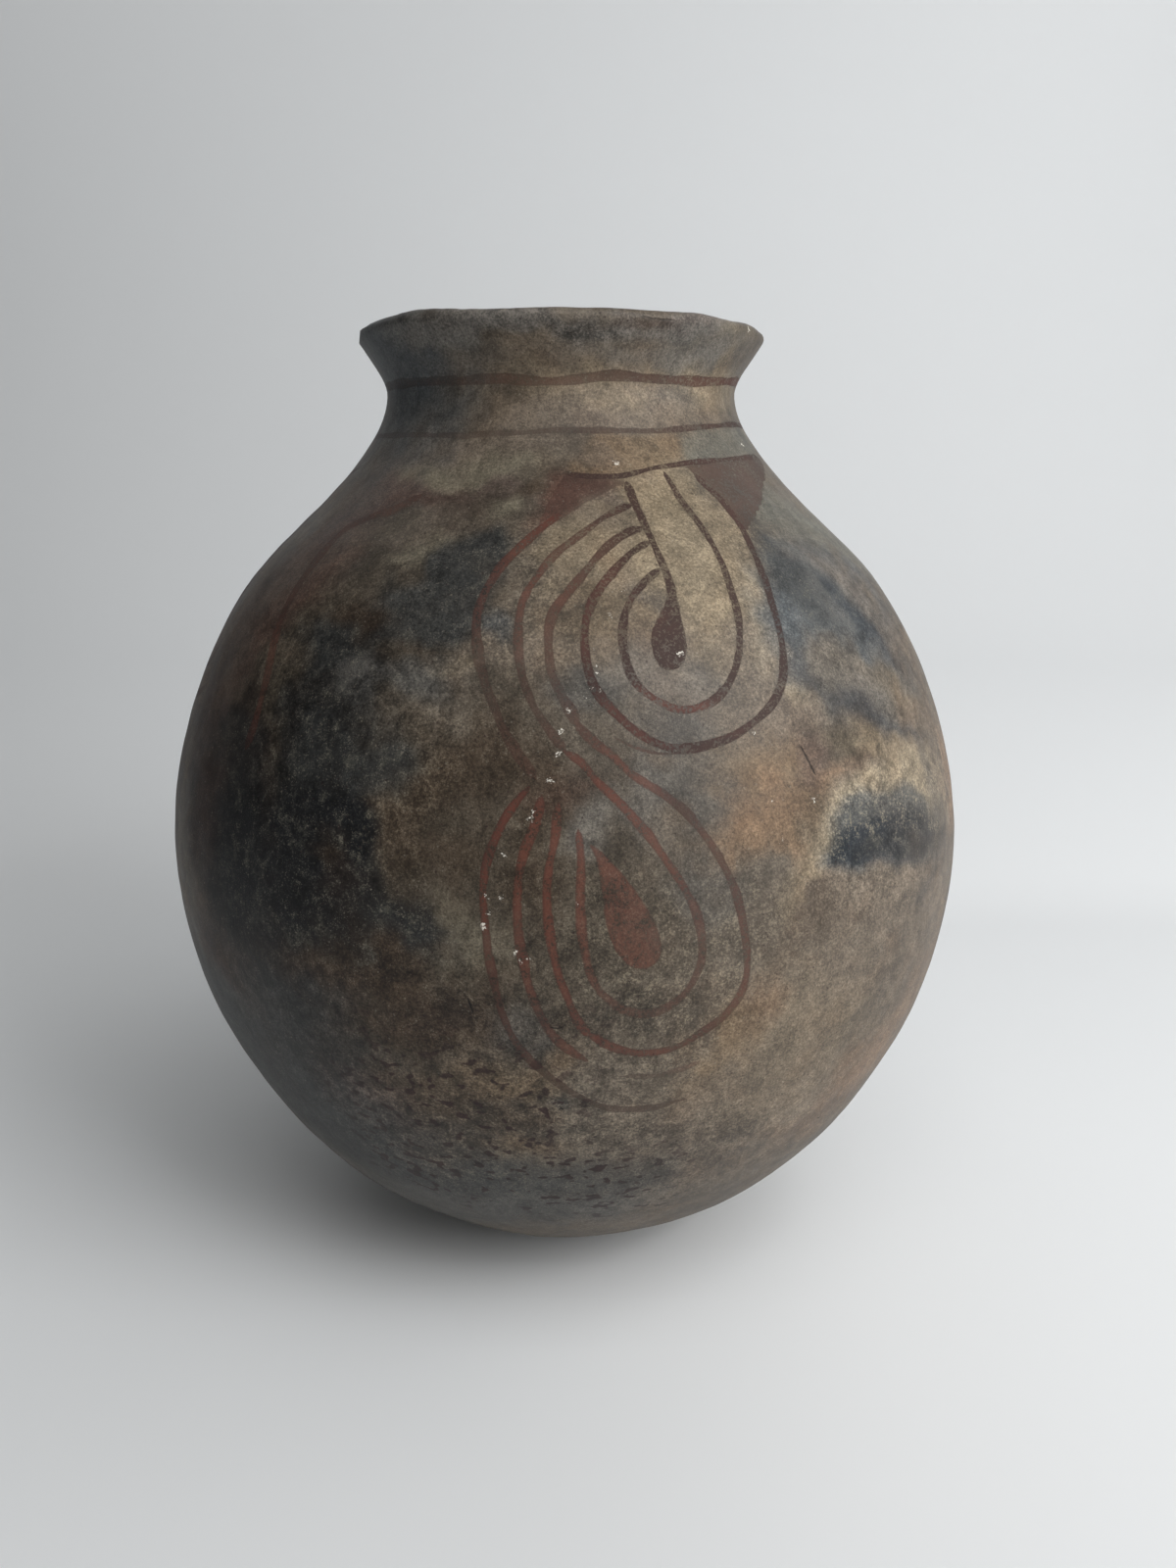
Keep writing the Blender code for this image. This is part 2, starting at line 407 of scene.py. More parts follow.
CLOUDS_AND_PAINTED_SHADE = (
    # Broad ground colours of the side that shows
    Smudge(Clay.FAWN, 830, 1010, 190, 260, 0.95, 0.7),
    Smudge(Clay.TAUPE, 840, 925, 100, 60, 0.45, 0.7),
    Smudge(Clay.SAND, 800, 1075, 90, 60, 0.4, 0.7, 10),
    *smudges(Clay.BROWN, (
        (360, 780, 230, 330, 0.95), (430, 1040, 190, 120, 0.9, 0.6, -12), (540, 850, 130, 200, 0.9, 0.7),
        (640, 950, 84, 70, 0.75, 0.7),
    )),
    Smudge(Clay.TAUPE, 660, 745, 110, 60, 0.8),
    Smudge(Clay.TAUPE, 580, 1140, 170, 70, 0.7),
    Smudge(Clay.FAWN, 730, 1150, 90, 60, 0.6, 0.7, 24),
    *smudges(Clay.GREY, (
        (500, 1238, 150, 22, 0.8), (310, 1110, 36, 110, 0.85, 0.6, 42),
        (420, 1215, 60, 26, 0.7, 0.6, -22),
    )),
    # Pale clay behind the upper loops
    Smudge(Clay.FAWN, 655, 600, 120, 150, 0.85, 0.5),
    Smudge(Clay.SAND, 700, 555, 60, 90, 0.85, 0.4, -14),
    Smudge(Clay.SAND, 600, 566, 44, 30, 0.6, 0.5, 38),
    Smudge(Clay.CREAM, 690, 560, 26, 46, 0.4, 0.6, -14),
    Smudge(Clay.SAND, 722, 624, 34, 40, 0.5),
    Smudge(Clay.SAND, 612, 628, 22, 26, 0.5),
    Smudge(Clay.FAWN, 745, 668, 34, 30, 0.6),
    Smudge(Clay.CREAM, 776, 624, 10, 40, 0.5, 0.7, -8),
    Smudge(Clay.OCHRE, 590, 640, 40, 34, 0.5),
    Smudge(Clay.SAND, 672, 500, 40, 24, 0.6, 0.5),
    Smudge(Clay.FAWN, 528, 664, 40, 18, 0.75, 0.6, 12),
    Smudge(Clay.FAWN, 470, 672, 34, 22, 0.8, 0.6, 20),
    Smudge(Clay.SAND, 458, 680, 18, 10, 0.5, 0.6, 10),
    Smudge(Clay.STONE, 650, 700, 70, 30, 0.4),
    Smudge(Clay.BROWN, 545, 600, 16, 44, 0.4, 0.7, 30),
    Smudge(Clay.GREY, 690, 748, 46, 14, 0.6),
    Smudge(Clay.GREY, 592, 716, 40, 22, 0.6, 0.6, -20),
    Smudge(Clay.BLUE_GREY, 505, 640, 18, 12, 0.6),
    # Right of the motif: fawn, ochre and the orange flash
    Smudge(Clay.FAWN, 790, 735, 40, 46, 0.9, 0.5, 20),
    Smudge(Clay.OCHRE, 790, 810, 60, 66, 0.8, 0.5, 10),
    Smudge(Clay.ORANGE, 775, 835, 34, 40, 0.35),
    Smudge(Clay.ORANGE, 850, 788, 44, 12, 0.35, 0.5, 24),
    Smudge(Clay.BROWN, 860, 760, 30, 20, 0.75, 0.6, -10),
    Smudge(Clay.ROSE_BROWN, 826, 772, 18, 30, 0.6, 0.6, -20),
    Smudge(Clay.STONE, 870, 700, 50, 24, 0.7, 0.6, -30),
    Smudge(Clay.FAWN, 935, 730, 30, 40, 0.6, 0.6, -30),
    Smudge(Clay.FAWN, 820, 712, 28, 16, 0.8, 0.6, -30),
    Smudge(Clay.GREY, 735, 900, 44, 30, 0.6),
    Smudge(Clay.STONE, 676, 826, 34, 34, 0.5),
    Smudge(Clay.GREY, 712, 795, 30, 24, 0.5),
    Smudge(Clay.TAUPE, 790, 895, 34, 22, 0.7),
    # Smoke on the right shoulder: a blue-grey field and two dark arms
    Stain(Clay.BLUE_GREY, (
        (780, 536), (812, 538), (850, 566), (884, 604), (915, 650), (938, 694), (926, 704), (893, 684),
        (862, 662), (836, 652), (810, 664), (798, 640), (790, 600), (778, 560),
    ), 0.85, 12),
    Smudge(Clay.SMOKE, 806, 580, 22, 40, 0.6, 0.6, 10),
    Smudge(Clay.STONE, 852, 606, 18, 26, 0.5, 0.6, -40),
    Stain(Clay.SLATE, (
        (836, 580), (852, 590), (874, 616), (901, 644), (928, 667), (943, 690), (930, 688), (899, 664),
        (870, 638), (846, 610),
    ), 0.7, 7),
    Smudge(Clay.TAUPE, 866, 680, 40, 14, 0.5, 0.6, -34),
    Stain(Clay.SLATE, (
        (797, 646), (812, 664), (826, 684), (850, 698), (874, 714), (900, 730), (930, 744), (944, 756),
        (928, 758), (896, 744), (866, 730), (838, 712), (814, 692), (802, 670),
    ), 0.7, 7),
    Smudge(Clay.BROWN, 856, 748, 20, 14, 0.5, 0.6, -20),
    Smudge(Clay.CREAM, 812, 696, 16, 6, 0.55, 0.6, -50),
    Smudge(Clay.MOSS, 806, 522, 38, 20, 0.85, 0.6, -30),
    Smudge(Clay.MOSS, 866, 560, 18, 50, 0.7, 0.6, 40),
    Smudge(Clay.FAWN, 905, 640, 12, 60, 0.5, 0.6, 34),
    # The dark crescent low on the right, its pale rim and the smear down the limb
    Smudge(Clay.FAWN, 905, 918, 60, 24, 0.6),
    Smudge(Clay.SAND, 905, 762, 40, 12, 0.6, 0.6, -14),
    Stain(Clay.CREAM, (
        (816, 900), (822, 876), (832, 846), (850, 816), (872, 793), (900, 778), (924, 764), (946, 768),
        (960, 800), (964, 840), (930, 850), (880, 850), (850, 866), (832, 890),
    ), 0.7, 6),
    Stain(Clay.BLUE_GREY, (
        (828, 880), (840, 852), (856, 828), (874, 811), (899, 803), (928, 805), (949, 812), (962, 830),
        (964, 862), (950, 874), (900, 878), (850, 882),
    ), 0.85, 8),
    Stain(Clay.SLATE, (
        (833, 879), (848, 860), (866, 842), (890, 834), (930, 830), (956, 832), (962, 856), (949, 870),
        (926, 877), (881, 879), (849, 880),
    ), 0.95, 5),
    Stain(Clay.SOOT, (
        (862, 874), (880, 856), (910, 848), (944, 844), (954, 860), (930, 873), (890, 876),
    ), 0.5, 6),
    Stain(Clay.SLATE, (
        (932, 750), (944, 770), (957, 800), (966, 830), (960, 834), (948, 804), (936, 774),
    ), 0.6, 5),
    Stain(Clay.SLATE, ((966, 862), (960, 888), (950, 908), (940, 922), (944, 900), (954, 880)), 0.7, 5),
    Smudge(Clay.SAND, 815, 905, 10, 40, 0.5, 0.6, -8),
    # Left shoulder and the red wash that fades round the limb
    Smudge(Clay.ROSE_BROWN, 420, 505, 120, 34, 0.75, 0.6, 12),
    Smudge(Clay.OLIVE, 484, 474, 84, 18, 0.9, 0.5, 2),
    Smudge(Clay.TAUPE, 352, 505, 40, 20, 0.7, 0.6, 42),
    Smudge(Clay.BROWN, 556, 492, 40, 17, 0.8, 0.6, 24),
    Stain(Clay.RED_BROWN, (
        (566, 486), (600, 487), (634, 491), (606, 510), (576, 528), (546, 544), (536, 540), (548, 516),
    ), 0.8, 8),
    Smudge(Clay.UMBER, 540, 502, 18, 8, 0.6, 0.6, 10),
    Smudge(Clay.RED_BROWN, 392, 524, 50, 7, 0.5, 0.7, 20),
    Smudge(Clay.BROWN, 500, 526, 60, 16, 0.7, 0.6, -8),
    Smudge(Clay.OLIVE, 514, 521, 15, 8, 0.8),
    Smudge(Clay.OLIVE, 430, 560, 32, 10, 0.6, 0.6, 14),
    Smudge(Clay.TAUPE, 410, 540, 44, 14, 0.6, 0.6, 10),
    # Smoke over the left of the belly
    Stain(Clay.SMOKE, (
        (470, 548), (492, 536), (512, 540), (528, 560), (518, 580), (503, 600), (495, 622), (480, 640),
        (452, 652), (425, 650), (405, 640), (385, 650), (360, 640), (352, 612), (372, 592), (400, 582),
        (425, 580), (440, 566),
    ), 0.9, 10),
    Smudge(Clay.BROWN, 500, 600, 12, 30, 0.5, 0.7, 30),
    Smudge(Clay.UMBER, 372, 622, 30, 20, 0.8),
    Smudge(Clay.TAUPE, 440, 722, 46, 26, 0.75, 0.6, 10),
    Smudge(Clay.GREY, 380, 692, 34, 28, 0.7),
    Stain(Clay.COAL, (
        (318, 640), (350, 632), (385, 650), (405, 680), (392, 715), (396, 745), (376, 765), (390, 800),
        (398, 850), (388, 890), (405, 925), (432, 940), (440, 958), (405, 972), (360, 975), (310, 962),
        (280, 940), (262, 900), (262, 850), (270, 800), (285, 740), (300, 690),
    ), 0.9, 16),
    *smudges(Clay.SMOKE, (
        (340, 660, 34, 26, 0.7), (322, 758, 20, 34, 0.75), (376, 776, 30, 24, 0.75),
    )),
    Stain(Clay.SOOT, (
        (294, 800), (345, 796), (382, 806), (384, 850), (370, 885), (350, 900), (345, 935), (360, 960),
        (310, 955), (280, 930), (268, 890), (272, 840),
    ), 0.9, 12),
    Stain(Clay.SOOT, ((364, 812), (384, 808), (398, 830), (394, 868), (376, 880), (364, 850)), 0.8, 9),
    Stain(Clay.SOOT, (
        (292, 935), (330, 944), (370, 950), (410, 938), (432, 936), (446, 950), (430, 964), (390, 972),
        (330, 970), (296, 956),
    ), 0.75, 8),
    Smudge(Clay.UMBER, 340, 868, 18, 24, 0.75),
    Smudge(Clay.DARK_BROWN, 350, 905, 30, 24, 0.8),
    Smudge(Clay.SMOKE, 405, 955, 40, 16, 0.75),
    Smudge(Clay.COAL, 412, 944, 20, 9, 0.7, 0.5),
    Smudge(Clay.UMBER, 424, 850, 22, 70, 0.6),
    Smudge(Clay.UMBER, 470, 790, 60, 36, 0.6, 0.7),
    Smudge(Clay.OLIVE, 476, 955, 26, 36, 0.55),
    Smudge(Clay.UMBER, 462, 880, 30, 30, 0.6, 0.7),
    # Dark limb on the left, brown with a purple cast: dark clay, laid darker still as painted shade for the
    # side turned from the light, with pale stripes at its edge as painted reflection
    Stain(Clay.DARK_BROWN, (
        (196, 720), (250, 690), (270, 760), (270, 900), (262, 950), (232, 950), (206, 900), (190, 820),
    ), 0.95, 16),
    Stain(Clay.COAL, (
        (222, 720), (252, 716), (264, 780), (262, 900), (246, 940), (226, 900), (218, 800),
    ), 0.75, 12),
    Smudge(Clay.ROSE_BROWN, 262, 620, 30, 80, 0.6, 0.7, -22),
    # Painted reflection: thin pale stripes along the left edge for the sheen that grazing light gives there
    Smudge(Clay.STONE, 236, 620, 12, 60, 0.4, 0.7, -26),
    Smudge(Clay.TAUPE, 186, 850, 8, 90, 0.6, 0.7),
    Smudge(Clay.RED_BROWN, 212, 830, 12, 60, 0.5, 0.7),
    Smudge(Clay.RED_BROWN, 296, 620, 14, 60, 0.5, 0.7, -28),
    # Low on the left: umber, brown and a speckled pale belt
    Smudge(Clay.DARK_BROWN, 320, 1000, 100, 40, 0.8, 0.6, -14),
    Smudge(Clay.UMBER, 400, 1030, 120, 50, 0.85, 0.5, -6),
    Smudge(Clay.DARK_BROWN, 452, 1026, 40, 26, 0.5, 0.5),
    Smudge(Clay.ROSE_BROWN, 232, 985, 20, 50, 0.55, 0.6, 24),
    Smudge(Clay.GREY, 320, 1070, 50, 24, 0.5, 0.6, -34),
    Smudge(Clay.TAUPE, 396, 1080, 22, 14, 0.6),
    Smudge(Clay.OCHRE, 474, 1104, 56, 14, 0.65, 0.6, -4),
    Smudge(Clay.ROSE_BROWN, 390, 1130, 60, 36, 0.6, 0.6, -24),
    Smudge(Clay.OCHRE, 500, 1176, 64, 13, 0.65),
    Smudge(Clay.UMBER, 485, 1140, 70, 13, 0.6, 0.6, -6),
    Smudge(Clay.OCHRE, 578, 1080, 20, 12, 0.5),
    Smudge(Clay.SMOKE, 570, 1130, 11, 7, 0.6, 0.6, -10),
    Smudge(Clay.GREY, 530, 1044, 26, 26, 0.6),
    Smudge(Clay.TAUPE, 645, 1020, 60, 26, 0.6),
    Smudge(Clay.BROWN, 600, 1000, 30, 30, 0.5),
    Smudge(Clay.TAUPE, 740, 955, 26, 46, 0.5),
    Smudge(Clay.SMOKE, 560, 1206, 110, 12, 0.45),
    Smudge(Clay.GREY, 470, 1200, 80, 18, 0.6, 0.6, -6),
    Smudge(Clay.SMOKE, 850, 1128, 24, 6, 0.4, 0.7, 34),
    Smudge(Clay.ORANGE, 775, 1020, 26, 20, 0.3),
    Smudge(Clay.RED_BROWN, 560, 820, 40, 26, 0.45, 0.7),
    # These darken the left limb: soot and dark clay, laid deeper as painted shade for the side turned from
    # the light
    Smudge(Clay.SOOT, 246, 915, 34, 110, 0.75, 0.7, 14),
    Smudge(Clay.DARK_BROWN, 262, 1000, 50, 60, 0.7, 0.7, 30),
    Smudge(Clay.SMOKE, 306, 1050, 46, 60, 0.75, 0.6, 38),
    Smudge(Clay.UMBER, 300, 960, 50, 36, 0.6, 0.7),
    Smudge(Clay.BROWN, 410, 1115, 76, 50, 0.75, 0.7, -20),
    Smudge(Clay.ROSE_BROWN, 376, 1120, 34, 22, 0.5, 0.7, -20),
    Smudge(Clay.GREY, 366, 1170, 60, 30, 0.5, 0.7, -36),
    Smudge(Clay.BROWN, 590, 950, 120, 110, 0.42, 0.7),
    Smudge(Clay.TAUPE, 735, 1000, 50, 50, 0.4, 0.7),
    Smudge(Clay.GREY, 730, 815, 26, 30, 0.4, 0.7),
    Smudge(Clay.OCHRE, 738, 1052, 30, 24, 0.5, 0.7),
    Smudge(Clay.STONE, 610, 862, 26, 30, 0.5, 0.7),
    Smudge(Clay.UMBER, 546, 886, 26, 70, 0.45, 0.7),
    Smudge(Clay.COAL, 492, 572, 24, 34, 0.45, 0.7, 20),
    Smudge(Clay.GREY, 430, 692, 24, 26, 0.6, 0.7),
    Smudge(Clay.STONE, 374, 690, 22, 26, 0.5, 0.7),
    Smudge(Clay.BLUE_GREY, 794, 628, 18, 34, 0.7, 0.7),
    Smudge(Clay.TAUPE, 850, 690, 26, 16, 0.6, 0.7, -34),
    Smudge(Clay.SAND, 912, 694, 20, 20, 0.4, 0.7, -34),
    Smudge(Clay.OCHRE, 548, 1108, 34, 14, 0.5, 0.7),
    Smudge(Clay.COAL, 300, 1110, 30, 70, 0.55, 0.7, 40),
    Smudge(Clay.SMOKE, 366, 1176, 60, 20, 0.55, 0.7, -34),
    Smudge(Clay.SMOKE, 236, 1040, 20, 60, 0.6, 0.7, 30),
    # Soot on the left limb, laid deeper as painted shade for the side turned from the light
    Smudge(Clay.SOOT, 240, 900, 26, 80, 0.6, 0.7, 10),
    Smudge(Clay.SOOT, 306, 930, 24, 24, 0.7, 0.7),
    Smudge(Clay.ORANGE, 905, 1060, 20, 60, 0.35, 0.7, -20),
    Smudge(Clay.UMBER, 430, 1112, 50, 22, 0.6, 0.7, -10),
    Smudge(Clay.SMOKE, 306, 1112, 24, 60, 0.6, 0.7, 42),
    Smudge(Clay.UMBER, 492, 752, 30, 30, 0.45, 0.7),
    # Soot on the left limb, laid deeper as painted shade for the side turned from the light
    Smudge(Clay.SOOT, 262, 930, 44, 34, 0.6, 0.7),
    Smudge(Clay.SOOT, 254, 866, 22, 60, 0.6, 0.7, 4),
    Smudge(Clay.COAL, 316, 1066, 30, 30, 0.5, 0.7, 38),
    Smudge(Clay.GREY, 430, 690, 22, 22, 0.5, 0.7),
    Smudge(Clay.OCHRE, 734, 1050, 26, 26, 0.4, 0.7),
    # Neck, with a painted reflection on its left
    Smudge(Clay.FAWN, 560, 400, 240, 60, 0.9, 0.4),
    Smudge(Clay.SAND, 650, 390, 110, 40, 0.55),
    Smudge(Clay.CREAM, 725, 400, 36, 34, 0.35),
    Smudge(Clay.FAWN, 556, 452, 60, 12, 0.6),
    Smudge(Clay.BROWN, 480, 396, 60, 24, 0.6),
    Smudge(Clay.FAWN, 650, 414, 70, 18, 0.8),
    Smudge(Clay.SAND, 630, 412, 26, 12, 0.5),
    Smudge(Clay.GREY, 682, 408, 20, 16, 0.4),
    Smudge(Clay.FAWN, 590, 362, 70, 15, 0.7),
    Smudge(Clay.STONE, 690, 362, 70, 16, 0.7),
    # Painted reflection: a blue-grey patch on the left of the neck, where the pale room shows in it at a
    # grazing angle
    Smudge(Clay.BLUE_GREY, 408, 374, 44, 66, 0.85),
    Smudge(Clay.STONE, 450, 332, 70, 14, 0.8, 0.6, 4),
    Smudge(Clay.STONE, 530, 330, 46, 14, 0.75),
    Smudge(Clay.SMOKE, 600, 330, 40, 12, 0.65),
    Smudge(Clay.STONE, 690, 334, 70, 10, 0.75, 0.6, -4),
    Smudge(Clay.ROSE_BROWN, 690, 325, 60, 5, 0.5, 0.7, -6),
    Stain(Clay.OCHRE, (
        (602, 446), (650, 446), (704, 447), (704, 468), (660, 477), (622, 482), (580, 484), (590, 466),
    ), 0.8, 4),
    Smudge(Clay.FAWN, 600, 470, 30, 8, 0.6, 0.6, 2),
    Smudge(Clay.BROWN, 584, 452, 20, 10, 0.6),
    Stain(Clay.MOSS, ((694, 446), (748, 440), (764, 450), (772, 464), (740, 468), (698, 473)), 0.85, 6),
    # The right side, plainer: fawn with one smoke cloud and an ochre flash
    Smudge(Clay.FAWN, 560, 960, 240, 260, 0.7, 0.7, 0, 80),
    Smudge(Clay.SAND, 620, 580, 90, 120, 0.55, 0.6, 0, 90),
    Smudge(Clay.ORANGE, 470, 860, 90, 50, 0.4, 0.7, 20, 88),
    Stain(Clay.GREY, (
        (600, 700), (670, 690), (740, 740), (800, 760), (820, 830), (740, 850), (680, 800), (620, 780),
    ), 0.8, 18, 96),
    Stain(Clay.SMOKE, (
        (640, 720), (690, 716), (740, 764), (790, 790), (770, 826), (710, 800), (660, 766),
    ), 0.8, 12, 96),
    Smudge(Clay.CREAM, 730, 712, 60, 14, 0.45, 0.6, -30, 96),
    Smudge(Clay.UMBER, 420, 1060, 110, 60, 0.6, 0.7, 0, 96),
    # The back: taupe, two dark clouds where the fuel lay, a pale patch between them
    Smudge(Clay.TAUPE, 560, 700, 240, 240, 0.6, 0.7, 0, 185),
    Smudge(Clay.BROWN, 600, 1060, 280, 110, 0.7, 0.7, 0, 180),
    Smudge(Clay.SAND, 640, 590, 90, 110, 0.5, 0.6, -10, 180),
    Stain(Clay.SMOKE, (
        (360, 700), (420, 660), (480, 690), (500, 760), (480, 850), (500, 920), (440, 960), (380, 930),
        (340, 860), (330, 780),
    ), 0.85, 20, 176),
    Stain(Clay.COAL, (
        (380, 740), (430, 720), (460, 780), (440, 860), (400, 900), (360, 840), (362, 780),
    ), 0.7, 16, 176),
    Smudge(Clay.OCHRE, 760, 880, 70, 60, 0.6, 0.7, 0, 172),
    Smudge(Clay.CREAM, 800, 760, 50, 18, 0.45, 0.6, 20, 172),
    Smudge(Clay.BLUE_GREY, 720, 1010, 60, 34, 0.5, 0.7, 10, 190),
    Stain(Clay.SMOKE, (
        (470, 660), (530, 640), (570, 670), (560, 720), (600, 770), (580, 800), (520, 760), (480, 740),
    ), 0.7, 14, 176),
    Stain(Clay.GREY, (
        (300, 880), (360, 930), (440, 950), (520, 930), (560, 960), (500, 1010), (400, 1010), (320, 960),
    ), 0.7, 18, 176),
    Smudge(Clay.UMBER, 420, 800, 24, 40, 0.7, 0.6, 0, 176),
    Smudge(Clay.OLIVE, 560, 900, 60, 30, 0.5, 0.6, -10, 178),
    Smudge(Clay.ROSE_BROWN, 480, 560, 110, 34, 0.6, 0.7, 16, 186),
    # The left side, darker: it faced the heart of the fire
    Smudge(Clay.UMBER, 560, 860, 200, 240, 0.6, 0.7, 0, 272),
    Stain(Clay.GREY, (
        (640, 560), (710, 600), (740, 700), (800, 780), (760, 860), (690, 820), (660, 720), (620, 640),
    ), 0.7, 20, 262),
    Stain(Clay.COAL, (
        (660, 620), (700, 650), (716, 720), (760, 790), (730, 830), (690, 780), (664, 700),
    ), 0.7, 14, 262),
    Smudge(Clay.OLIVE, 500, 600, 70, 50, 0.5, 0.7, 0, 268),
    Smudge(Clay.OCHRE, 520, 1130, 130, 30, 0.4, 0.7, 0, 270),
    # The back of the neck
    Smudge(Clay.TAUPE, 570, 400, 200, 60, 0.8, 0.5, 0, 180),
    Smudge(Clay.SMOKE, 640, 376, 90, 36, 0.6, 0.6, 0, 200),
    Smudge(Clay.STONE, 480, 336, 120, 14, 0.5, 0.6, 0, 170),
    Smudge(Clay.OLIVE, 570, 468, 140, 22, 0.6, 0.6, 0, 150),
    # Broken-up soot, where the clouds have their ragged edges
    *smudges(Texture.SOOTY, (
        (490, 575, 50, 44, 0.5, 0.6, -30), (425, 622, 80, 44, 0.5, 0.6, 10), (345, 700, 70, 90, 0.5, 0.5),
        (315, 850, 80, 120, 0.6, 0.5), (380, 840, 30, 60, 0.55, 0.4), (360, 945, 90, 36, 0.6, 0.45),
        (235, 830, 30, 130, 0.5), (815, 590, 44, 60, 0.4, 0.6, 8), (880, 640, 74, 20, 0.3, 0.6, -44),
        (876, 722, 90, 14, 0.35, 0.6, -34),
    )),
    Stain(Texture.SOOTY, (
        (832, 882), (850, 850), (880, 816), (920, 804), (962, 812), (966, 862), (930, 876), (870, 880),
    ), 0.55, 6),
    *smudges(Texture.SOOTY, (
        (540, 1205, 150, 26, 0.55), (560, 1000, 160, 130, 0.35, 0.7), (560, 760, 120, 70, 0.3, 0.7),
        (700, 780, 120, 60, 0.7, 0.6, 20, 96), (420, 820, 110, 120, 0.8, 0.6, 0, 176),
        (700, 730, 90, 110, 0.7, 0.6, 30, 262),
    )),
    # Coarse mottling, strongest where the fire left the skin dark
    *smudges(Texture.COARSE, (
        (320, 800, 100, 220, 1.0, 0.4), (480, 760, 100, 100, 0.4, 0.5), (470, 600, 80, 70, 0.8, 0.5),
        (420, 1080, 220, 120, 0.9, 0.4, -10), (600, 1190, 220, 60, 0.6, 0.5),
        (600, 960, 130, 120, 0.4, 0.5), (850, 640, 90, 120, 0.35), (900, 850, 80, 60, 0.6, 0.5),
        (560, 800, 300, 420, 0.6, 0.5, 0, 180), (560, 900, 240, 300, 0.5, 0.5, 0, 90),
        (560, 900, 240, 300, 0.7, 0.5, 0, 270),
    )),
    # Pale grain of ash
    Smudge(Texture.ASHY, 705, 560, 80, 100, 0.6, 0.5, -14),
    Smudge(Texture.ASHY, 600, 580, 70, 60, 0.55, 0.5, 30),
    Stain(Texture.ASHY, (
        (826, 880), (838, 846), (860, 814), (890, 790), (930, 776), (960, 780), (966, 830), (940, 846),
        (890, 850), (860, 860), (842, 884),
    ), 1.0, 9),
    *smudges(Texture.ASHY, (
        (680, 990, 100, 70, 0.6), (760, 950, 50, 60, 0.5), (520, 1160, 150, 60, 0.35),
        (850, 1060, 120, 120, 0.3), (655, 412, 80, 24, 0.35), (415, 860, 30, 90, 0.4),
        (500, 665, 70, 26, 0.5, 0.6, 10), (560, 620, 140, 120, 0.5, 0.6, 0, 90),
        (700, 800, 160, 160, 0.5, 0.6, 0, 180),
    )),
    # Fine upright strokes of the burnishing pebble, picked out by soot; at the two limbs they are partly
    # painted reflection, the pale streaks of sheen that grazing light shows there
    *smudges(Texture.STREAKY, (
        (905, 815, 64, 26, 0.8, 0.4), (930, 980, 40, 140, 0.6), (230, 760, 50, 200, 0.7),
    )),
    # Dark flecks drawn out round the jar, low down
    *smudges(Texture.SPECKLED, (
        (470, 1140, 120, 66, 1.0, 0.5, -8), (540, 1215, 170, 34, 1.0, 0.5),
        (400, 1110, 60, 50, 0.8, 0.6, -30), (580, 1100, 60, 60, 0.5),
        (560, 1190, 260, 60, 0.6, 0.6, 0, 130), (560, 1190, 260, 60, 0.7, 0.6, 0, 240),
    )),
    # Where the slip fired redder
    *smudges(Texture.RUSTY, (
        (510, 590, 60, 90, 0.6), (570, 580, 60, 70, 0.5), (690, 728, 60, 20, 0.7),
        (560, 900, 90, 150, 0.9), (660, 840, 90, 70, 0.8, 0.6, -40), (640, 950, 70, 90, 0.7),
        (330, 640, 60, 160, 0.8, 0.6, -20), (745, 985, 40, 90, 0.6, 0.7), (640, 1064, 90, 24, 0.7, 0.7),
        (520, 390, 90, 16, 0.5), (740, 390, 60, 16, 0.5), (760, 500, 40, 40, 0.2),
        (640, 860, 140, 140, 0.8, 0.6, 0, 88), (560, 640, 100, 100, 0.6, 0.6, 0, 270),
    )),
    # The broken skin under the lip
    *smudges(Texture.SPALLED, (
        (560, 331, 100, 16, 1.0, 0.5), (680, 330, 70, 9, 0.6, 0.5, -4), (440, 332, 60, 10, 0.6, 0.5, 4),
        (560, 331, 90, 12, 0.7, 0.5, 0, 160),
    )),
)


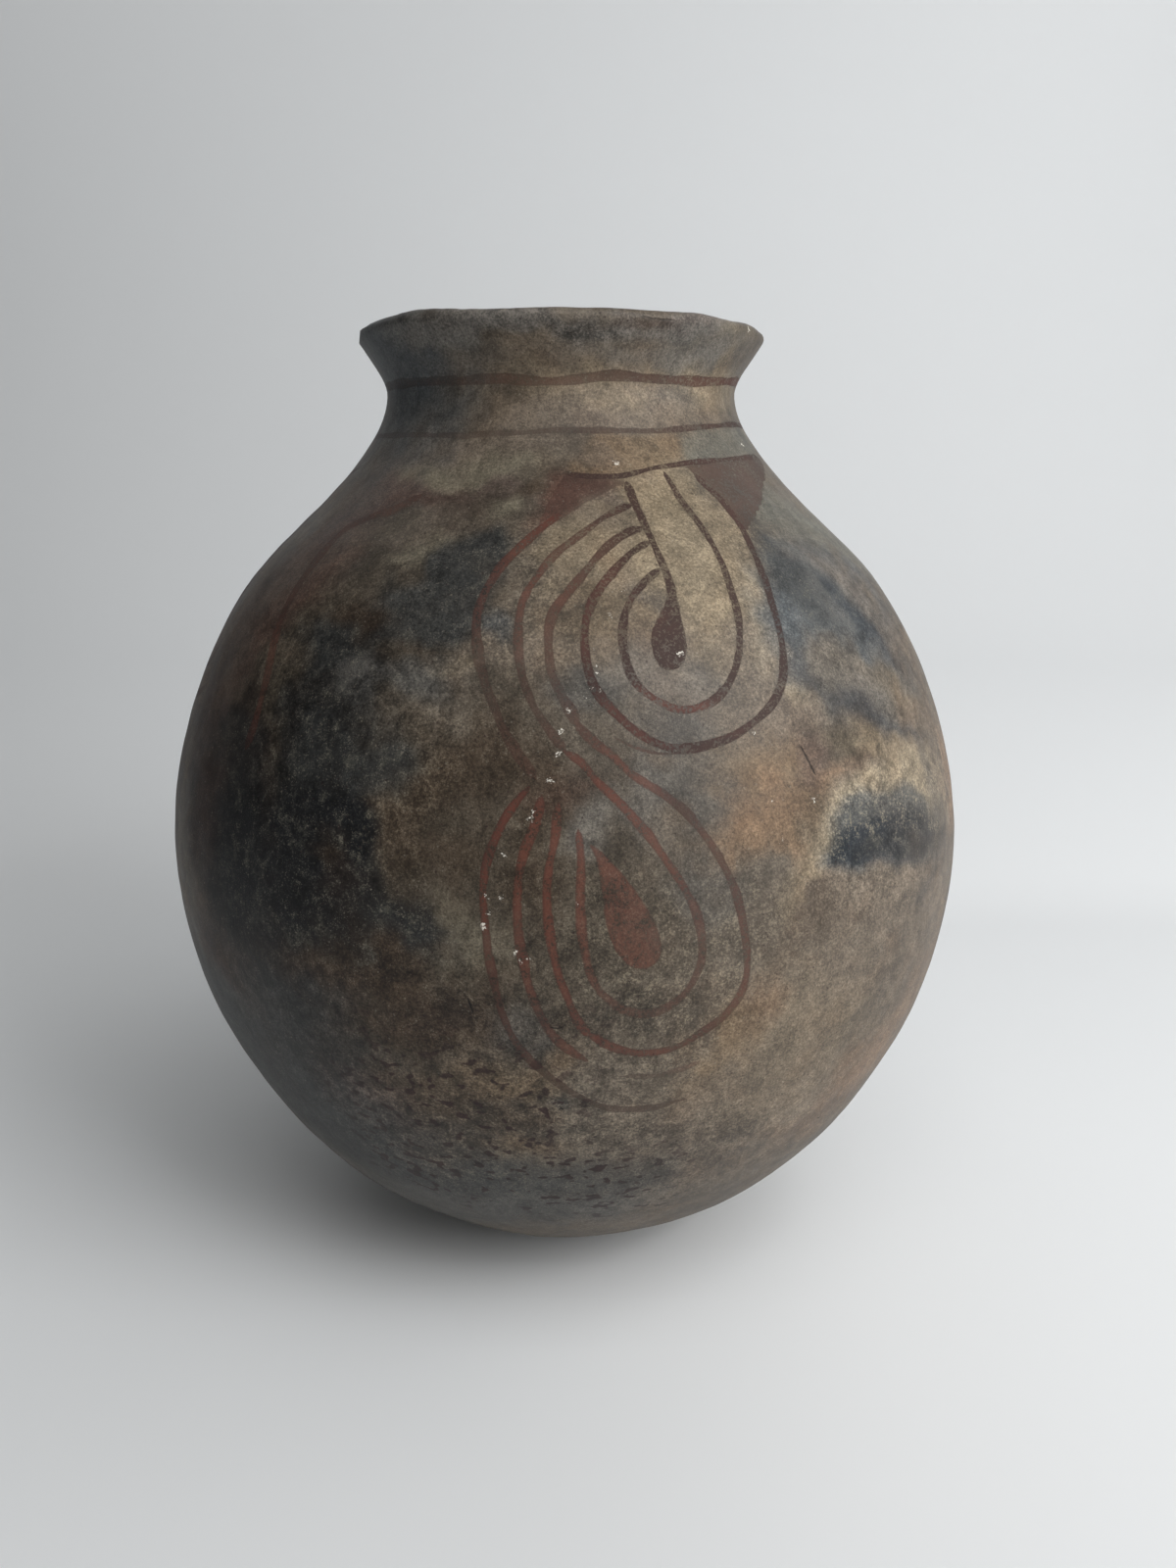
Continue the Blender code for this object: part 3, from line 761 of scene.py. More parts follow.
@dataclass
class JarForm:
    """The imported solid's form, smoothed, for reading places on it and fitting the wall to it.

    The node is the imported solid, which is left alone, and places in the photograph are read through
    the camera.
    """

    node: bpy.types.Object
    camera: PhotoCamera
    middle_px: float = 575.0
    inward_px: float = 3.0
    merge_within: float = 0.02
    flat_deg: float = 30.0
    skew_deg: float = 60.0
    levels: int = 3
    belly_height: float = 172.0
    sag_low: float = 4.4
    sag_belly: float = 1.4
    sag_fade: float = 115.0
    lean: float = 1.0
    lean_from: float = 60.0
    lean_fade: float = 150.0
    base_radius: float = 42.0
    base_fade: float = 35.0
    far_out: float = 500.0

    def __post_init__(self) -> None:
        """Merges a copy of the solid and smooths it."""
        self.piece = bpy.data.objects.new("smooth_form", self.node.data.copy())
        bpy.context.scene.collection.objects.link(self.piece)
        work_on(self.piece)
        bpy.ops.object.mode_set(mode="EDIT")
        bpy.ops.mesh.select_all(action="SELECT")
        bpy.ops.mesh.remove_doubles(threshold=self.merge_within * MM)
        bpy.ops.mesh.tris_convert_to_quads(
            face_threshold=math.radians(self.flat_deg), shape_threshold=math.radians(self.skew_deg),
        )
        bpy.ops.object.mode_set(mode="OBJECT")
        smooth = self.piece.modifiers.new("smooth", "SUBSURF")
        smooth.levels = smooth.render_levels = self.levels
        bpy.ops.object.modifier_apply(modifier=smooth.name)
        self.fill_out()
        self.tree = BVHTree.FromObject(self.piece, bpy.context.evaluated_depsgraph_get())

    def fill_out(self) -> None:
        """Lets the lower belly sag out by a few millimetres, most on the right, as the photograph shows."""
        mesh = self.piece.data
        points = np.empty(len(mesh.vertices) * 3, np.float32)
        mesh.vertices.foreach_get("co", points)
        points = points.reshape(-1, 3)
        height = points[:, 2] / MM
        radius = np.linalg.norm(points[:, :2], axis=1)
        up = np.minimum(height / self.belly_height, 1.0)
        below = self.sag_low - (self.sag_low - self.sag_belly) * up
        sag = below * (1.0 - ease((height - self.belly_height) / self.sag_fade))
        lean = self.lean * (1.0 - ease((height - self.lean_from) / self.lean_fade))
        clear_of_base = ease((radius / MM - self.base_radius) / self.base_fade)
        points[:, :2] *= 1.0 + (sag * clear_of_base * MM / np.maximum(radius, 0.01))[:, None]
        points[:, 0] += lean * clear_of_base * MM
        mesh.vertices.foreach_set("co", points.ravel())
        mesh.update()

    def at(self, spot: Place) -> Vector | None:
        """The point of the jar that shows at a place in the photograph, or None beside the jar."""
        return self.tree.ray_cast(self.camera.place, self.camera.ray(spot))[0]

    def at_or_inside(self, spot: Place) -> tuple[Vector, Place]:
        """The jar's point at a place or, where that lies beside the jar, at the next place further in."""
        x, y = spot
        while self.at((x, y)) is None:
            x += math.copysign(self.inward_px, self.middle_px - x)
        return self.at((x, y)), (x, y)

    def at_azimuth(self, azimuth: float, height: float) -> Vector:
        """The outside point at an azimuth in radians and a height in metres."""
        outward = Vector((math.cos(azimuth), math.sin(azimuth), 0.0))
        start = outward * self.far_out * MM + Vector((0.0, 0.0, height))
        return self.tree.ray_cast(start, -outward)[0]

    def remove(self) -> None:
        """Takes the helper out of the scene."""
        bpy.data.objects.remove(self.piece)


@dataclass
class JarWall:
    """The jar's clay wall: outside, rounded lip and inside as one closed mesh."""

    form: JarForm
    front_columns: int = 216
    back_columns: int = 140
    painted_step: float = 2.5
    plain_step: float = 4.5
    inside_step: float = 9.0
    lip_step: float = 1.1
    painted_from: float = 50.0
    lip_from: float = 368.0
    merge_within: float = 0.01

    def section(self) -> tuple[np.ndarray, np.ndarray]:
        """Reads the wall's section on the +X side off the smooth form.

        Returns:
            Points from the middle of the base, up the outside, over the lip and down the inside to
            the axis, and the length along the section to each, in millimetres.
        """
        cut = self.form.piece.copy()
        cut.data = self.form.piece.data.copy()
        bpy.context.scene.collection.objects.link(cut)
        work_on(cut)
        bpy.ops.object.mode_set(mode="EDIT")
        bpy.ops.mesh.select_all(action="SELECT")
        bpy.ops.mesh.bisect(plane_co=(0, 0, 0), plane_no=(0, 1, 0), clear_inner=True, clear_outer=True)
        bpy.ops.object.mode_set(mode="OBJECT")
        near: dict[int, list[int]] = {}
        for edge in cut.data.edges:
            first, second = edge.vertices
            near.setdefault(first, []).append(second)
            near.setdefault(second, []).append(first)
        places = [vert.co.copy() for vert in cut.data.vertices]
        base = min(near, key=lambda index: abs(places[index].x) + places[index].z)
        chain = [base]
        ahead = next(index for index in near[base] if places[index].x > places[base].x)
        while places[ahead].x > 0.0:
            chain.append(ahead)
            ahead = next(index for index in near[ahead] if index != chain[-2])
        points = np.array([list(places[index]) for index in chain])
        bpy.data.objects.remove(cut)
        steps = np.linalg.norm(np.diff(points, axis=0), axis=1) / MM
        return points, np.concatenate([[0.0], np.cumsum(steps)])

    def spaced(self) -> tuple[np.ndarray, np.ndarray, float]:
        """Spaces the section's points out afresh: close where slip lines run, wide inside.

        Its two ends are put on the axis, where the wall closes.

        Returns:
            The new points, the length along the section to each, and the length to the top of the lip.
        """
        points, lengths = self.section()
        heights = points[:, 2] / MM
        top = int(heights.argmax())
        at = [0.0]
        while at[-1] < lengths[-1]:
            here = min(int(np.searchsorted(lengths, at[-1])), len(heights) - 1)
            step = self.painted_step
            if heights[here] > self.lip_from:
                step = self.lip_step
            elif here > top:
                step = self.inside_step
            elif heights[here] < self.painted_from:
                step = self.plain_step
            at.append(at[-1] + step)
        at[-1] = lengths[-1]
        rows = np.stack([np.interp(at, lengths, points[:, axis]) for axis in range(3)], axis=1)
        rows[[0, -1], :2] = 0.0
        return rows, np.array(at), float(lengths[top])

    def build(self) -> bpy.types.Object:
        """Turns the section round the axis, the back first, and settles the wall on the jar's form.

        Returns:
            The wall, with the length up its section kept as the attribute "rise".
        """
        rows, at, self.lip_rise = self.spaced()
        bpy.ops.object.select_all(action="DESELECT")
        bpy.ops.mesh.primitive_circle_add(vertices=len(rows))
        wall = bpy.context.object
        wall.name = wall.data.name = "olla_wall"
        wall.data.vertices.foreach_set("co", rows.astype(np.float32).ravel())
        rise = wall.data.attributes.new("rise", "FLOAT", "POINT")
        rise.data.foreach_set("value", at.astype(np.float32))
        self.open_chain(wall)
        for columns in (self.back_columns, self.front_columns):
            bpy.ops.mesh.spin(steps=columns, angle=-math.pi, center=(0, 0, 0), axis=(0, 0, 1))
        bpy.ops.mesh.select_all(action="SELECT")
        bpy.ops.mesh.remove_doubles(threshold=self.merge_within * MM)
        bpy.ops.mesh.normals_make_consistent(inside=False)
        bpy.ops.object.mode_set(mode="OBJECT")
        bpy.ops.object.shade_smooth()
        fit = wall.modifiers.new("fit", "SHRINKWRAP")
        fit.target = self.form.piece
        fit.wrap_method = "NEAREST_SURFACEPOINT"
        bpy.ops.object.modifier_apply(modifier=fit.name)
        return wall

    def open_chain(self, wall: bpy.types.Object) -> None:
        """Takes out the edge that closes the ring of points and leaves the chain selected, in edit mode."""
        last = len(wall.data.vertices) - 1
        bpy.ops.object.mode_set(mode="EDIT")
        bpy.ops.mesh.select_mode(type="EDGE")
        bpy.ops.mesh.select_all(action="DESELECT")
        bpy.ops.object.mode_set(mode="OBJECT")
        for edge in wall.data.edges:
            edge.select = set(edge.vertices) == {0, last}
        bpy.ops.object.mode_set(mode="EDIT")
        bpy.ops.mesh.delete(type="EDGE")
        bpy.ops.mesh.select_mode(type="VERT")
        bpy.ops.mesh.select_all(action="SELECT")


def turned(points: np.ndarray, degrees: float) -> np.ndarray:
    """Points turned about the jar's axis."""
    angle = math.radians(degrees)
    cos, sin = math.cos(angle), math.sin(angle)
    turn = np.array([[cos, -sin, 0.0], [sin, cos, 0.0], [0.0, 0.0, 1.0]])
    return points @ turn.T


def smooth_course(places: Iterable[Place], step_px: float = 5.0) -> list[Place]:
    """A smooth curve through places, as closely spaced places from the first to the last."""
    points = [np.array(place, float) for place in places]
    padded = [2 * points[0] - points[1], *points, 2 * points[-1] - points[-2]]
    course = []
    for before, start, end, after in zip(padded, padded[1:], padded[2:], padded[3:]):
        count = max(1, round(float(np.linalg.norm(end - start)) / step_px))
        for number in range(count):
            t = number / count
            course.append(tuple(0.5 * (
                2 * start + (end - before) * t + (2 * before - 5 * start + 4 * end - after) * t**2
                + (3 * start - before - 3 * end + after) * t**3
            )))
    return [*course, tuple(points[-1])]


@dataclass
class Trail:
    """Where a brush went on the jar: points in metres with the wall's normals, and how it was laid.

    The line swells and thins in long and short waves, each a share of its width and a length, and
    comes down to a share of its width at its pointed ends.
    """

    points: np.ndarray
    normals: np.ndarray
    width: float
    strengths: np.ndarray
    tapers: Span
    seed: int
    closed: bool = False
    long_press: Span = (0.13, 6.3)
    short_press: Span = (0.08, 2.7)
    phase_step: float = 1.7
    quick_phase: float = 2.1
    point: float = 0.35

    def frames(self) -> tuple[np.ndarray, np.ndarray, np.ndarray]:
        """The way along, the way across, and the length so far in millimetres, at each point."""
        if self.closed:
            ahead = np.roll(self.points, -1, axis=0) - np.roll(self.points, 1, axis=0)
        else:
            ahead = np.gradient(self.points, axis=0)
        along = ahead / np.linalg.norm(ahead, axis=1, keepdims=True)
        across = np.cross(self.normals, along)
        across /= np.linalg.norm(across, axis=1, keepdims=True)
        steps = np.linalg.norm(np.diff(self.points, axis=0), axis=1) / MM
        return along, across, np.concatenate([[0.0], np.cumsum(steps)])

    def half_width(self, run: np.ndarray, length: float) -> np.ndarray:
        """Half the line's width at lengths along it, uneven as a hand lays it and pointed at its ends."""
        phase = self.seed * self.phase_step
        (much, slow), (little, quick) = self.long_press, self.short_press
        press = 1.0 + much * np.sin(run / slow + phase)
        press += little * np.sin(run / quick + self.quick_phase * phase)
        half = self.width / 2 * press
        if self.closed:
            return half
        start, end = self.tapers
        left = length - run
        half *= self.point + (1.0 - self.point) * ease(run / start) * ease(left / end)
        return half - np.maximum(0.0, -run) - np.maximum(0.0, -left)


@dataclass
class WallSheet:
    """The wall's points as arrays: marks, clouds and slip are laid on them and kept as attributes.

    The wall has its "rise" attribute, the form is the smooth one that places in the photograph are
    carried onto, and the lip's rise is the length up the section to the top of the lip. Each row of
    marks says how high its waves are and how far apart, in millimetres, then their seed and, where
    they are drawn out, how many times longer they are around the jar and up it.
    """

    wall: bpy.types.Object
    form: JarForm
    lip_rise: float
    reach: float = 6.5
    guard: float = 3.0
    longest_px: float = 0.85
    wave_count: int = 28
    strays: tuple[Span, ...] = ((60, 5.0), (28, 3.8), (13, 2.6), (7, 1.5))
    ragged_px: float = 45.0
    sounding_px: float = 4.0
    patch_depth: float = 60.0
    stain_stray: float = 0.6
    stain_stray_px: float = 26.0
    stain_step_px: float = 12.0
    band_step_deg: float = 1.0
    band_sway: float = 0.8
    fill_reach: float = 8.0
    fill_margin: float = 12.0
    fill_step_px: float = 3.0
    past_lip: float = 3.0
    hidden_from: float = 0.02
    hidden_fade: float = 0.22
    facing_from: float = -0.25
    facing_fade: float = 0.2
    least_stray: float = 0.25
    burnish_marks: tuple[tuple, ...] = ((0.22, 58, 3), (0.07, 19, 4), (0.05, 9, 5, (1.0, 2.4)))
    coil_marks: tuple[tuple, ...] = ((0.10, 13, 6, (5.0, 1.0)),)
    coils_from: float = 290.0
    coils_fade: float = 40.0
    broken_marks: tuple[tuple, ...] = ((0.2, 4.5, 7), (0.16, 7.5, 8))
    broken_depth: float = 0.25
    broken_until: float = 372.0
    broken_fade: float = 4.0
    broken_lost: float = 0.8
    inside_burnish: float = 0.6
    scraped_marks: tuple[tuple, ...] = ((0.25, 11, 9, (4.0, 1.0)),)
    lip_marks: tuple[tuple, ...] = ((0.35, 34, 10, (1.0, 4.0)), (0.05, 9, 11))
    crest_from: float = 371.0
    crest_fade: float = 5.0
    foot_to: float = 6.0

    def __post_init__(self) -> None:
        """Reads the wall."""
        mesh = self.wall.data
        count = len(mesh.vertices)
        points = np.empty(count * 3, np.float32)
        mesh.vertices.foreach_get("co", points)
        normals = np.empty(count * 3, np.float32)
        mesh.vertex_normals.foreach_get("vector", normals)
        rise = np.empty(count, np.float32)
        mesh.attributes["rise"].data.foreach_get("value", rise)
        self.points = points.reshape(-1, 3).astype(float)
        self.normals = normals.reshape(-1, 3).astype(float)
        self.rise = rise.astype(float)
        self.outside = self.rise <= self.lip_rise + self.past_lip
        sight = np.array(self.form.camera.place) - self.points
        sight /= np.linalg.norm(sight, axis=1, keepdims=True)
        facing = np.einsum("ij,ij->i", sight, self.normals)
        self.hidden = 1.0 - ease((facing - self.hidden_from) / self.hidden_fade)
        self.lines: list[tuple[np.ndarray, np.ndarray]] = []
        self.cracks: list[tuple[np.ndarray, np.ndarray]] = []

    def keep(self, name: str, values: np.ndarray) -> None:
        """Keeps one number, or one row of three, for each point of the wall as an attribute."""
        kind, slot = ("FLOAT", "value") if values.ndim == 1 else ("FLOAT_VECTOR", "vector")
        attribute = self.wall.data.attributes.new(name, kind, "POINT")
        attribute.data.foreach_set(slot, values.astype(np.float32).ravel())

    def waves(self, length: float, seed: int, stretch: Span = (1.0, 1.0)) -> np.ndarray:
        """A smooth random field of about -1 to 1 over the wall.

        Args:
            length: How far apart its crests are, in millimetres.
            seed: Picks the field.
            stretch: How many times longer its waves are around the jar, and up it.

        Returns:
            The field at each point.
        """
        draw = np.random.default_rng(seed)
        ways = draw.normal(size=(self.wave_count, 3))
        ways /= np.linalg.norm(ways, axis=1, keepdims=True)
        ways *= 2 * math.pi / (length * MM * draw.uniform(0.7, 1.5, size=(self.wave_count, 1)))
        ways /= np.array([stretch[0], stretch[0], stretch[1]])
        phases = draw.uniform(0, 2 * math.pi, self.wave_count)
        return np.sin(self.points @ ways.T + phases).sum(axis=1) / math.sqrt(self.wave_count)

    def marks(self, rows: Iterable[tuple]) -> np.ndarray:
        """Fields of waves added up, in millimetres, from a row for each."""
        return sum(height * self.waves(*row) for height, *row in rows)

    def stray(self) -> np.ndarray:
        """How far each point strays at random, so that a round patch comes out ragged, in metres."""
        away = np.zeros_like(self.points)
        for axis in range(3):
            for seed, (length, shift) in enumerate(self.strays):
                away[:, axis] += self.waves(length, 100 + 10 * axis + seed) * shift * MM
        return away

    def patch(self, smudge: Smudge, stray: np.ndarray) -> np.ndarray:
        """How strongly one smudge shows at each point, from 0 to 1. A small one is less ragged."""
        raggedness = self.least_stray + min(smudge.wide, smudge.tall) / self.ragged_px
        points = self.points + stray * min(1.0, raggedness)
        centre, spot = self.form.at_or_inside((smudge.x, smudge.y))
        centre = np.array(centre)
        sideways = self.per_pixel(spot, (self.sounding_px, 0.0), centre)
        upward = self.per_pixel(spot, (0.0, -self.sounding_px), centre)
        across = sideways / np.linalg.norm(sideways)
        up = upward - across * (upward @ across)
        up /= np.linalg.norm(up)
        away = turned(points, -smudge.turned_deg) - centre
        lean = math.radians(smudge.lean_deg)
        a = (away @ across) / np.linalg.norm(sideways)
        b = (away @ up) / np.linalg.norm(upward)
        wide = (a * math.cos(lean) + b * math.sin(lean)) / smudge.wide
        tall = (b * math.cos(lean) - a * math.sin(lean)) / smudge.tall
        deep = (away @ np.cross(across, up)) / (self.patch_depth * MM)
        distance = np.sqrt(wide**2 + tall**2 + deep**2)
        share = ease((1.0 + smudge.softness - distance) / (2 * smudge.softness))
        return np.where(self.outside, smudge.strength * share, 0.0)

    def per_pixel(self, spot: Place, step: Place, centre: np.ndarray) -> np.ndarray:
        """The way on the jar for one pixel of the photograph, held short near the jar's limb."""
        before = self.form.at((spot[0] - step[0], spot[1] - step[1]))
        after = self.form.at((spot[0] + step[0], spot[1] + step[1]))
        before = centre if before is None else np.array(before)
        after = centre if after is None else np.array(after)
        way = (after - before) / (2 * math.hypot(*step))
        return way * min(1.0, self.longest_px * MM / max(float(np.linalg.norm(way)), 1e-9))

    def stain(self, stain: Stain, stray: np.ndarray) -> np.ndarray:
        """How strongly one outlined patch shows at each point, from 0 to 1. A sharper one strays less."""
        back = -stain.turned_deg
        sight = np.array(self.form.camera.place) - turned(self.points, back)
        facing = np.einsum("ij,ij->i", sight, turned(self.normals, back))
        facing /= np.linalg.norm(sight, axis=1)
        share_strayed = min(self.stain_stray, stain.softness / self.stain_stray_px)
        places = self.form.camera.seen_at(turned(self.points + share_strayed * stray, back))
        corners = np.array(smooth_course([*stain.places, stain.places[0]], self.stain_step_px))
        distance = np.full(len(places), np.inf)
        for start, end in zip(corners, np.roll(corners, -1, axis=0)):
            way = end - start
            along = np.clip(((places - start) @ way) / max(float(way @ way), 1e-6), 0.0, 1.0)
            distance = np.minimum(distance, np.linalg.norm(places - start - along[:, None] * way, axis=1))
        distance = np.where(within(places, corners), -distance, distance)
        share = ease((stain.softness - distance) / (2 * stain.softness))
        share *= ease((facing - self.facing_from) / self.facing_fade)
        return np.where(self.outside, stain.strength * share, 0.0)

    def lay_clouds_and_painted_shade(self, clouds: Iterable[Smudge | Stain]) -> None:
        """Lays the clay's colours one over another, some of them painted shade and painted reflection,
        gathers each texture's field, and keeps them all.
        """
        stray = self.stray()
        tint = np.tile(linear(Clay.TAUPE.value)[:3], (len(self.points), 1))
        bare = {texture: np.ones(len(self.points)) for texture in Texture}
        for cloud in clouds:
            share = self.patch(cloud, stray) if isinstance(cloud, Smudge) else self.stain(cloud, stray)
            if isinstance(cloud.kind, Clay):
                colour = np.array(linear(cloud.kind.value)[:3])
                tint += (colour - tint) * share[:, None]
            else:
                bare[cloud.kind] *= 1.0 - share
        self.keep("clay_tint_and_painted_shade", tint)
        for texture, values in bare.items():
            self.keep(texture.value, 1.0 - values)
        self.spalled = 1.0 - bare[Texture.SPALLED]

    def trail(self, stroke: Stroke, seed: int) -> Trail:
        """Carries one stroke from the photograph onto the jar."""
        hits = [self.form.tree.ray_cast(self.form.camera.place, self.form.camera.ray(spot))
                for spot in smooth_course(stroke.places)]
        hits = [hit for hit in hits if hit[0] is not None]
        points = np.array([list(hit[0]) for hit in hits])
        normals = np.array([list(hit[1]) for hit in hits])
        strengths = np.linspace(*stroke.strength, len(points))
        return Trail(points, normals, stroke.width, strengths, stroke.tapers, seed)

    def band_trail(self, band: Band, seed: int) -> Trail:
        """Carries a band onto the jar in front and closes it round the back."""
        front = [self.form.at(spot) for spot in smooth_course(band.places)]
        first, last = front[0], front[-1]
        start = math.atan2(last.y, last.x)
        end = math.atan2(first.y, first.x) + 2 * math.pi
        count = int((end - start) / math.radians(self.band_step_deg))
        rest = []
        for number in range(1, count):
            share = number / count
            height = last.z + (first.z - last.z) * share + self.band_sway * MM * math.sin(9 * share)
            rest.append(self.form.at_azimuth(start + (end - start) * share, height))
        points = front + rest
        normals = np.array([list(self.form.tree.find_nearest(point)[1]) for point in points])
        low, high = band.strength
        ends = ((low, high, len(front)), (high, low, len(rest)))
        strengths = np.concatenate([np.linspace(*stretch) for stretch in ends])
        places = np.array([list(point) for point in points])
        return Trail(places, normals, band.width, strengths, (0, 0), seed, closed=True)

    def around(self, points: np.ndarray, spots: np.ndarray, margin: float) -> np.ndarray:
        """The numbers of the outside points in a box about some spots, wider by a margin in metres."""
        near = self.outside & np.all(points > spots.min(axis=0) - margin, axis=1)
        near &= np.all(points < spots.max(axis=0) + margin, axis=1)
        return np.flatnonzero(near)

    def lay_line(self, trail: Trail, sheets: list[tuple[np.ndarray, np.ndarray]],
                 turned_deg: float = 0.0) -> None:
        """Lays one trail on the first sheet that is still bare where it runs.

        Across is linear over the mesh while the distance to a line is not, so across is what is kept,
        and lines that come near each other go on different sheets.

        Args:
            trail: Where the line runs and how wide and strong it is.
            sheets: The sheets so far, to which another is added when none is bare.
            turned_deg: How far round the jar this copy of the line stands.
        """
        points = turned(self.points, -turned_deg)
        margin = (self.reach + self.guard) * MM
        index = self.around(points, trail.points, margin)
        distance = np.full(len(index), np.inf)
        nearest = np.zeros(len(index), int)
        for number, spot in enumerate(trail.points):
            to_spot = np.linalg.norm(points[index] - spot, axis=1)
            closer = to_spot < distance
            distance[closer] = to_spot[closer]
            nearest[closer] = number
        along, across, run = trail.frames()
        away = (points[index] - trail.points[nearest]) / MM
        sideways = np.einsum("ij,ij->i", away, across[nearest])
        position = run[nearest] + np.einsum("ij,ij->i", away, along[nearest])
        half = trail.half_width(position, float(run[-1]))
        strengths = trail.strengths[nearest]
        if turned_deg:
            strengths = strengths * self.hidden[index]
        inner = distance < self.reach * MM
        outer = distance < margin
        for values, taken in sheets:
            if not taken[index[outer]].any():
                break
        else:
            values = np.tile([0.0, -1.0, 0.0], (len(self.points), 1))
            taken = np.zeros(len(self.points), bool)
            sheets.append((values, taken))
        values[index[inner]] = np.stack([sideways, half, strengths], axis=1)[inner]
        taken[index[inner]] = True

    def lay_fills(self, fills: Iterable[Fill], turns: Iterable[float]) -> None:
        """Keeps the distance to the nearest filled outline, below zero inside it, and its strength."""
        signed = np.tile([self.fill_reach, 0.0, 0.0], (len(self.points), 1))
        for fill in fills:
            outline = smooth_course([*fill.places, fill.places[0]], self.fill_step_px)
            edge = np.array([list(self.form.at(spot)) for spot in outline])
            corners = np.array(outline)
            for turn in turns:
                points = turned(self.points, -turn)
                index = self.around(points, edge, self.fill_margin * MM)
                distance = np.full(len(index), np.inf)
                for spot in edge:
                    distance = np.minimum(distance, np.linalg.norm(points[index] - spot, axis=1))
                inside = within(self.form.camera.seen_at(points[index]), corners)
                value = np.where(inside, -distance, distance) / MM
                closer = value < signed[index, 0]
                signed[index[closer], 0] = value[closer]
                signed[index[closer], 2] = fill.strength * (self.hidden[index[closer]] if turn else 1.0)
        self.keep("slip_fill", signed)

    def work_marks(self) -> None:
        """Moves the wall's points by what shaping, burnishing and long use left on it."""
        above = self.points[:, 2] / MM
        burnish = self.marks(self.burnish_marks)
        coils = self.marks(self.coil_marks) * ease((above - self.coils_from) / self.coils_fade)
        broken = self.spalled * (self.marks(self.broken_marks) - self.broken_depth)
        broken *= 1.0 - self.broken_lost * ease((above - self.broken_until) / self.broken_fade)
        scraped = self.inside_burnish * burnish + self.marks(self.scraped_marks)
        height = np.where(self.outside, burnish + coils + broken, scraped)
        lip = ease((above - self.crest_from) / self.crest_fade)
        resting = ease(above / self.foot_to)
        self.points += self.normals * (height * resting)[:, None] * MM
        self.points[:, 2] += lip * self.marks(self.lip_marks) * MM
        self.wall.data.vertices.foreach_set("co", self.points.astype(np.float32).ravel())
        self.wall.data.update()


def within(places: np.ndarray, corners: np.ndarray) -> np.ndarray:
    """Whether each place lies inside a closed outline."""
    inside = np.zeros(len(places), bool)
    for (x0, y0), (x1, y1) in zip(corners, np.roll(corners, -1, axis=0)):
        if y0 == y1:
            continue
        between = (places[:, 1] < y0) != (places[:, 1] < y1)
        crossing = x0 + (places[:, 1] - y0) / (y1 - y0) * (x1 - x0)
        inside ^= between & (places[:, 0] < crossing)
    return inside


